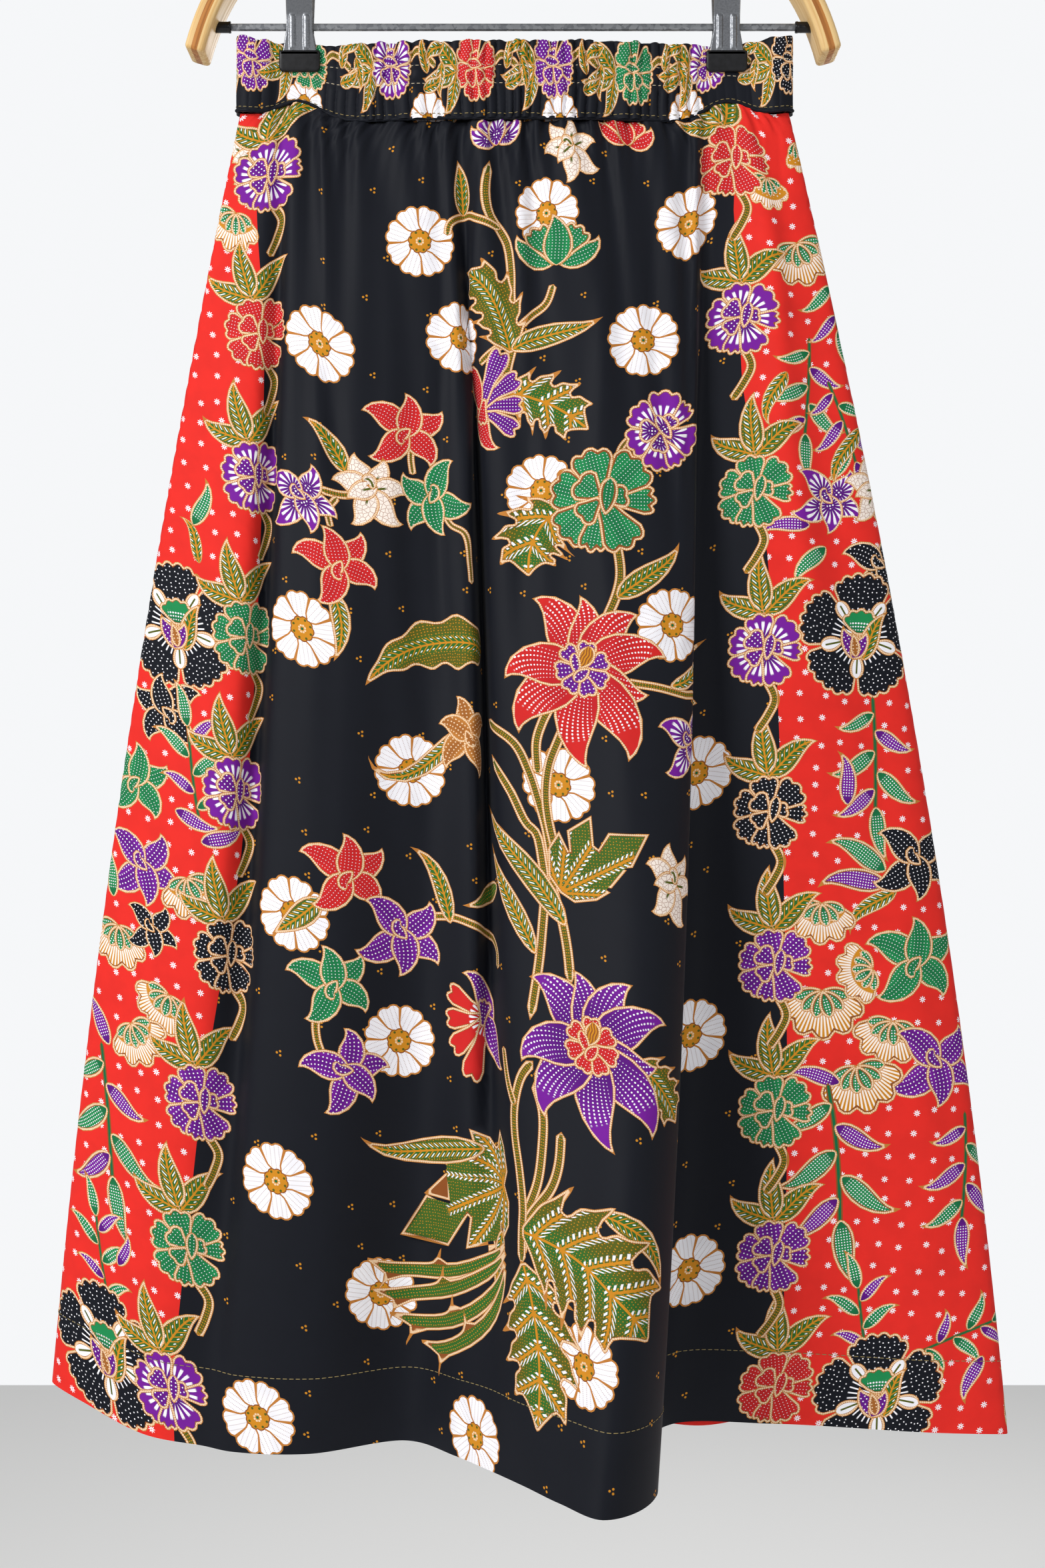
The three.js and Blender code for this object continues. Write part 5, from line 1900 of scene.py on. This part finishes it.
def arch_line():
    t = np.linspace(0, 1, 44)[:, None]
    corners = np.array([(0, ARCH["top_z"]), (ARCH["shoulder_x"], ARCH["top_z"]),
                        (ARCH["elbow_x"], ARCH["elbow_z"]), (ARCH["end_x"], ARCH["end_z"])], float)
    half = ((1 - t) ** 3 * corners[0] + 3 * (1 - t) ** 2 * t * corners[1]
            + 3 * (1 - t) * t**2 * corners[2] + t**3 * corners[3])
    return np.vstack([half[:0:-1] * (-1, 1), half])


def make_arm():
    line = arch_line()
    along = normed(np.gradient(line, axis=0))
    length = reach_along(line)
    rings, uvs = [], []

    def station(p, a, reach, inset):
        section = rounded_section(ARM_THICK - 2 * inset, ARM_DEEP - 2 * inset, ARM_EDGE + 0.8 - inset * 0.6)
        normal = np.array([-a[1], a[0]])
        rings.append([(p[0] + normal[0] * u, v, p[1] + normal[1] * u) for u, v in section])
        uvs.append([(reach, u) for u, v in section])

    rounding = [(ARM_EDGE * beyond, ARM_EDGE * inset) for beyond, inset in ARM_ROUNDING]
    for beyond, inset in rounding:
        station(line[0] - along[0] * beyond, along[0], -beyond, inset)
    for p, a, reach in zip(line, along, length):
        station(p, a, reach, 0)
    for beyond, inset in rounding[::-1]:
        station(line[-1] + along[-1] * beyond, along[-1], length[-1] + beyond, inset)
    arm = skin("hanger_wood", rings, WOOD)
    layer = arm.data.uv_layers.new(name="Motif")
    flat = np.array(uvs).reshape(-1, 2)
    corner_vertices = np.empty(len(arm.data.loops), np.int32)
    arm.data.loops.foreach_get("vertex_index", corner_vertices)
    layer.uv.foreach_set("vector", flat[corner_vertices].astype(np.float32).ravel())
    return arm


def make_hook():
    radius = HOOK_INNER_RADIUS + WIRE_RADIUS
    stem_top = ARCH["top_z"] + ARM_THICK / 2
    points = [(0, stem_top - STEM_SUNK), (0, stem_top + 12), (1.2, stem_top + 24), (4.6, stem_top + 33)]
    for degrees in np.arange(HOOK_FROM, HOOK_TO + 1, 17.5):
        angle = math.radians(degrees)
        points.append((radius * math.cos(angle), -HOOK_INNER_RADIUS + radius * math.sin(angle)))
    line = along_curve(points, np.linspace(0, len(points) - 1, 110))
    points = np.stack([line[:, 0], 0 * line[:, 0], line[:, 1]], 1)
    return tube("hook_wire", points, WIRE_RADIUS, 16, HOOK_WIRE)


def make_rod():
    half = ARM_INNER_X + SOCKET_SUNK - 2
    section = rounded_section(ROD_DEEP, ROD_HIGH, ROD_CORNER, 4)
    stations = ((-half, 0.6), (-half + 0.4, 1.0), *((x, 1.0) for x in np.linspace(-half + 4, half - 4, 40)),
                (half - 0.4, 1.0), (half, 0.6))
    rings = [[(x, u * size, ROD_Z + v * size) for u, v in section] for x, size in stations]
    return skin("bar", rings, GALVANISED)


def make_socket(name, sign):
    """A black cap on each end of the bar, with a rolled rim."""
    outer = ARM_INNER_X + SOCKET_SUNK
    inner = outer - SOCKET_LONG
    profile = ((0, 2.6), (0, 3.5), (0.5, 4.0), (1.6, 4.0), (2.2, 3.75), (2.9, 3.8), (SOCKET_LONG - 0.5, 3.8),
               (SOCKET_LONG, 3.3))
    angle = np.linspace(0, 2 * np.pi, 32, endpoint=False)
    rings = []
    for along, radius in profile:
        x = sign * (inner + along)
        rings.append([(x, sign * radius * math.cos(a), ROD_Z + radius * math.sin(a)) for a in angle])
    return skin(name, rings, GLOSSY)


# Clips
PLATE_THICK = 1
PLATE_WIDE_LOW = 23
PLATE_WIDE_HIGH = 18
PLATE_AT_ROD = 4.9
LEVER_ABOVE_ROD = 26
LEVER_OUT = 12
PAD_WIDE = 28
PAD_HIGH = 14.5
PAD_THICK = 3.4
PAD_BOTTOM_Z = -227
PAD_CORNER = 3.2
PAD_ROUND = 1.2
PAD_TOP_CORNER = 1.4
RIB_WIDE = 4.2
RIB_LONG = 24
RIB_PROUD = 1.1
RIB_APART = 9.6
RIB_CLEAR = 0.6
RIB_END = 1.8
PLATE_TAPER = 14
PLATE_EDGE = 0.35
SPRING_LONG = 13
SPRING_RADIUS = 3.95
SPRING_WIRE = 0.65
SPRING_TURNS = 8


def make_plate(name, clip_x, side):
    low = CLIPPED_OUT + GAP + (PAD_THICK - PLATE_THICK) / 2
    face = np.array([
        (low, PAD_BOTTOM_Z + 2.5), (low, PAD_BOTTOM_Z + PAD_HIGH), (PLATE_AT_ROD, ROD_Z - 4),
        (PLATE_AT_ROD, ROD_Z + 6), (LEVER_OUT, ROD_Z + LEVER_ABOVE_ROD)])
    reach = reach_along(face)
    steps = np.linspace(0, reach[-1], 56)
    smooth = np.stack([np.interp(steps, reach, face[:, k]) for k in (0, 1)], 1)
    for _ in range(3):
        smooth[1:-1] = (smooth[:-2] + 2 * smooth[1:-1] + smooth[2:]) / 4
    away = np.gradient(smooth, axis=0)
    away = normed(np.stack([away[:, 1], -away[:, 0]], 1))
    rib_low = PAD_BOTTOM_Z + PAD_HIGH + RIB_CLEAR
    across = np.linspace(-0.5, 0.5, 45)
    grids = []
    for thick in (PLATE_THICK, 0):
        rows = []
        for (out, z), n in zip(smooth, away):
            share = min(1, max(0, (z - PAD_BOTTOM_Z - PAD_HIGH) / PLATE_TAPER))
            wide = PLATE_WIDE_LOW + (PLATE_WIDE_HIGH - PLATE_WIDE_LOW) * share
            x = across * wide
            edge = np.clip(np.minimum(z - rib_low, rib_low + RIB_LONG - z) / RIB_END, 0, 1)
            off = np.abs(np.abs(x) - RIB_APART / 2) / (RIB_WIDE / 2)
            rib = RIB_PROUD * np.sqrt(np.clip(1 - off**2, 0, 1)) * math.sqrt(edge * (2 - edge))
            nub = 1.0 * np.sqrt(np.clip(1 - off**2 * 3.5 - ((z - rib_low - 0.9) / 1.3) ** 2, 0, 1))
            stand = thick + np.maximum(rib, nub) * (1 if thick else 0)
            edge_gap = np.clip((0.5 - np.abs(across)) * wide / 0.5, 0, 1)
            stand = stand - PLATE_EDGE * (1 - edge_gap) ** 2 * (1 if thick else -1)
            rows.append(np.stack([clip_x + x, side * (out + n[0] * stand), z + n[1] * stand], 1))
        grids.append(np.array(rows))
    outer, inner = grids
    rings = [np.vstack([outer[r], inner[r][::-1]]) for r in range(len(smooth))]
    if side > 0:
        rings = [ring[::-1] for ring in rings]
    return skin(name, rings, CLIP_STEEL)


def make_pad(name, clip_x, side):
    low = CLIPPED_OUT + GAP
    corners = []
    half = PAD_WIDE / 2
    for cx, cz, radius, first in ((half, 0, PAD_CORNER, -90), (half, PAD_HIGH, PAD_TOP_CORNER, 0),
                                  (-half, PAD_HIGH, PAD_TOP_CORNER, 90), (-half, 0, PAD_CORNER, 180)):
        centre = (cx - math.copysign(radius, cx), cz + (radius if cz == 0 else -radius))
        for degrees in np.linspace(first, first + 90, 7):
            a = math.radians(degrees)
            corners.append((centre[0] + radius * math.cos(a), centre[1] + radius * math.sin(a), a))
    rings = []
    for depth, inset in ((0, 0.7), (0.25, 0.25), (0.7, 0), (PAD_THICK - PAD_ROUND, 0),
                         (PAD_THICK - PAD_ROUND * 0.5, PAD_ROUND * 0.14),
                         (PAD_THICK - PAD_ROUND * 0.14, PAD_ROUND * 0.5),
                         (PAD_THICK, PAD_ROUND), (PAD_THICK + 0.12, PAD_ROUND + 1.6)):
        rings.append([(clip_x + x - inset * math.cos(a), side * (low + depth),
                       PAD_BOTTOM_Z + z - inset * math.sin(a)) for x, z, a in corners])
    if side < 0:
        rings = [ring[::-1] for ring in rings]
    return skin(name, rings, VINYL)


def make_spring(name, clip_x):
    turn = np.linspace(0, SPRING_TURNS * 2 * np.pi, SPRING_TURNS * 20)
    x = clip_x + (turn / turn[-1] - 0.5) * (SPRING_LONG - 2 * SPRING_WIRE)
    points = np.stack([x, SPRING_RADIUS * np.cos(turn), ROD_Z + SPRING_RADIUS * np.sin(turn)], 1)
    return tube(name, points, SPRING_WIRE, 8, SPRING_STEEL)


band_front = Band(BAND_BOW["front"], -1)
band_back = Band(BAND_BOW["back"], 1)
waist_front = stands_for(make_band("waist_front", band_front, False), "waistband_front")
waist_back = stands_for(make_band("waist_back", band_back, True), "waistband_back")


def waist_roll(name, band):
    """The rolled edge of the band where it is sewn to the skirt."""
    s = np.linspace(-band.half, band.half, 420)
    line = band.base(s)
    swell = 0.35 * np.sin(2 * np.pi * line[:, 0] / ROLL_PITCH + np.sin(line[:, 0] / 9))
    out = line[:, 1] + 0.7 + 0.3 * swell
    out[[0, -1]] = line[[0, -1], 1]
    points = np.stack([line[:, 0], band.side * out, seam_z(line[:, 0]) + 0.9 + 0.3 * swell], 1)
    return tube(name, points, ROLL_RADIUS, 8, PRINT["ground"])


def band_stitches(name, band):
    pieces = []
    s = np.arange(-band.half + STITCH_END, band.half - STITCH_END, BAND_STITCH_PITCH)
    for k, row in enumerate(STITCH_ROWS):
        pieces.append(stitch_row(f"{name}_row_{k + 1}", band, s + ROW_SHIFT * k, BAND_INSIDE + row,
                                 BAND_STITCH, PALE_THREAD))
    pieces.append(stitch_row(f"{name}_row_lower", band, s, BAND_INSIDE + LOWER_ROW, LOWER_STITCH,
                             GOLD_THREAD))
    return pieces


def hem_turnup(name, panel):
    """The hem's turned-up strip, just inside the panel."""
    t = np.linspace(CLOTH_LONG - HEM_DEEP, CLOTH_LONG, 9)
    rings = []
    for row in t:
        half = half_at(panel.half_width, row) - HEM_NARROWER
        s = np.linspace(-half, half, 240)
        tt = np.full(len(s), row)
        rings.append(panel.point(s, tt) - panel.normal(s, tt) * HEM_INSIDE)
    rings = np.array(rings)
    faces = []
    count = rings.shape[1]
    for r in range(len(t) - 1):
        for k in range(count - 1):
            a = r * count + k
            quad = (a, a + 1, a + count + 1, a + count)
            faces.append(quad if panel.side > 0 else quad[::-1])
    return mesh_object(name, rings.reshape(-1, 3), faces, PRINT["border"])


def hem_stitches(name, panel):
    t = CLOTH_LONG - HEM_DEEP
    half = half_at(panel.half_width, t) - HEM_STITCH_END
    s = np.arange(-half, half, HEM_STITCH_PITCH)
    return stitch_row(name, panel, s, t, HEM_STITCH, GOLD_THREAD, 0.15)


def flat_area(panel):
    t = np.linspace(0, CLOTH_LONG, 60)
    return float(np.mean(2 * panel.half_width(t)) * CLOTH_LONG * MM * MM)


def cut_width(panel):
    return float(2 * panel.half_width(np.array([0.0, CLOTH_LONG])).max() * MM)


for side_name, panel, band, cloth, waist in (
    ("front", front, band_front, skirt_front, waist_front),
    ("back", back, band_back, skirt_back, waist_back),
):
    roll = added(waist_roll(f"waist_roll_{side_name}", band))
    rows = [added(p) for p in band_stitches(f"waist_stitches_{side_name}", band)]
    hem = added(hem_turnup(f"hem_turnup_{side_name}", panel))
    stitches = added(hem_stitches(f"hem_stitches_{side_name}", panel))
    cut_width(panel)
    flat_area(panel)

arm = stands_for(make_arm(), "hanger_arm")
stands_for(make_hook(), "hook")
stands_for(make_rod(), "rod")
for side_name, sign in (("left", -1), ("right", 1)):
    stands_for(make_socket(f"socket_{side_name}", sign), f"rod_socket_{side_name}")
    clip_x = sign * CLIP_X
    for place, side in (("front", -1), ("rear", 1)):
        plate = make_plate(f"plate_{side_name}_{place}", clip_x, side)
        stands_for(plate, f"clip_{side_name}_{place}_plate")
        pad = make_pad(f"pad_{side_name}_{place}", clip_x, side)
        stands_for(pad, f"clip_{side_name}_{place}_pad")
    stands_for(make_spring(f"spring_{side_name}", clip_x), f"clip_{side_name}_spring")


# Stage, light and camera
WORLD_LIGHT = 0.5
WORLD_COLOUR = (0.92, 0.93, 0.945, 1)
FLOOR_COLOUR = (0.87, 0.865, 0.85, 1)
FLOOR_WIDE = 6
FLOOR_Z = -1.95
LIGHTS_AIM = (0, 0, -0.7)
LIGHTS = (
    # name, place and size in metres, power in watts
    ("key", (-1.9, -2.0, 0.5), 1.0, 62),
    ("fill", (1.6, -2.6, -0.3), 1.8, 12),
    ("rim", (0.8, 2.2, 0.6), 1.6, 26),
)


def make_stage():
    bpy.ops.mesh.primitive_plane_add(size=FLOOR_WIDE, location=(0, 0, FLOOR_Z))
    floor = bpy.context.object
    floor.name = "floor"
    sh = Shader("floor_pale")
    sh.look({"Base Color": FLOOR_COLOUR, "Roughness": 0.9})
    floor.data.materials.append(sh.material)

    world = bpy.data.worlds.new("studio")
    bpy.context.scene.world = world
    world.use_nodes = True
    nodes, links = world.node_tree.nodes, world.node_tree.links
    ground = nodes["Background"]
    ground.inputs[0].default_value = WORLD_COLOUR
    seen = nodes.new("ShaderNodeLightPath")
    level = nodes.new("ShaderNodeMapRange")
    level.inputs["To Min"].default_value = WORLD_LIGHT
    level.inputs["To Max"].default_value = 1.0
    links.new(seen.outputs["Is Camera Ray"], level.inputs["Value"])
    links.new(level.outputs[0], ground.inputs[1])

    for name, where, size, power in LIGHTS:
        light = bpy.data.lights.new(name, "AREA")
        light.size = size
        light.energy = power
        lamp = bpy.data.objects.new(name, light)
        bpy.context.collection.objects.link(lamp)
        lamp.location = where
        lamp.rotation_euler = (Vector(LIGHTS_AIM) - Vector(where)).to_track_quat("-Z", "Y").to_euler()


def make_camera():
    data = bpy.data.cameras.new("camera")
    data.sensor_width = SENSOR
    data.lens = FOCAL_PIXELS / FRAME_HIGH * SENSOR
    camera = bpy.data.objects.new("camera", data)
    bpy.context.collection.objects.link(camera)
    camera.location = (CAMERA_X * MM, -CAMERA_AWAY * MM, CAMERA_Z * MM)
    camera.rotation_euler = (math.radians(90), 0, 0)
    bpy.context.scene.camera = camera


make_stage()
make_camera()
bpy.context.scene.view_settings.view_transform = "Standard"
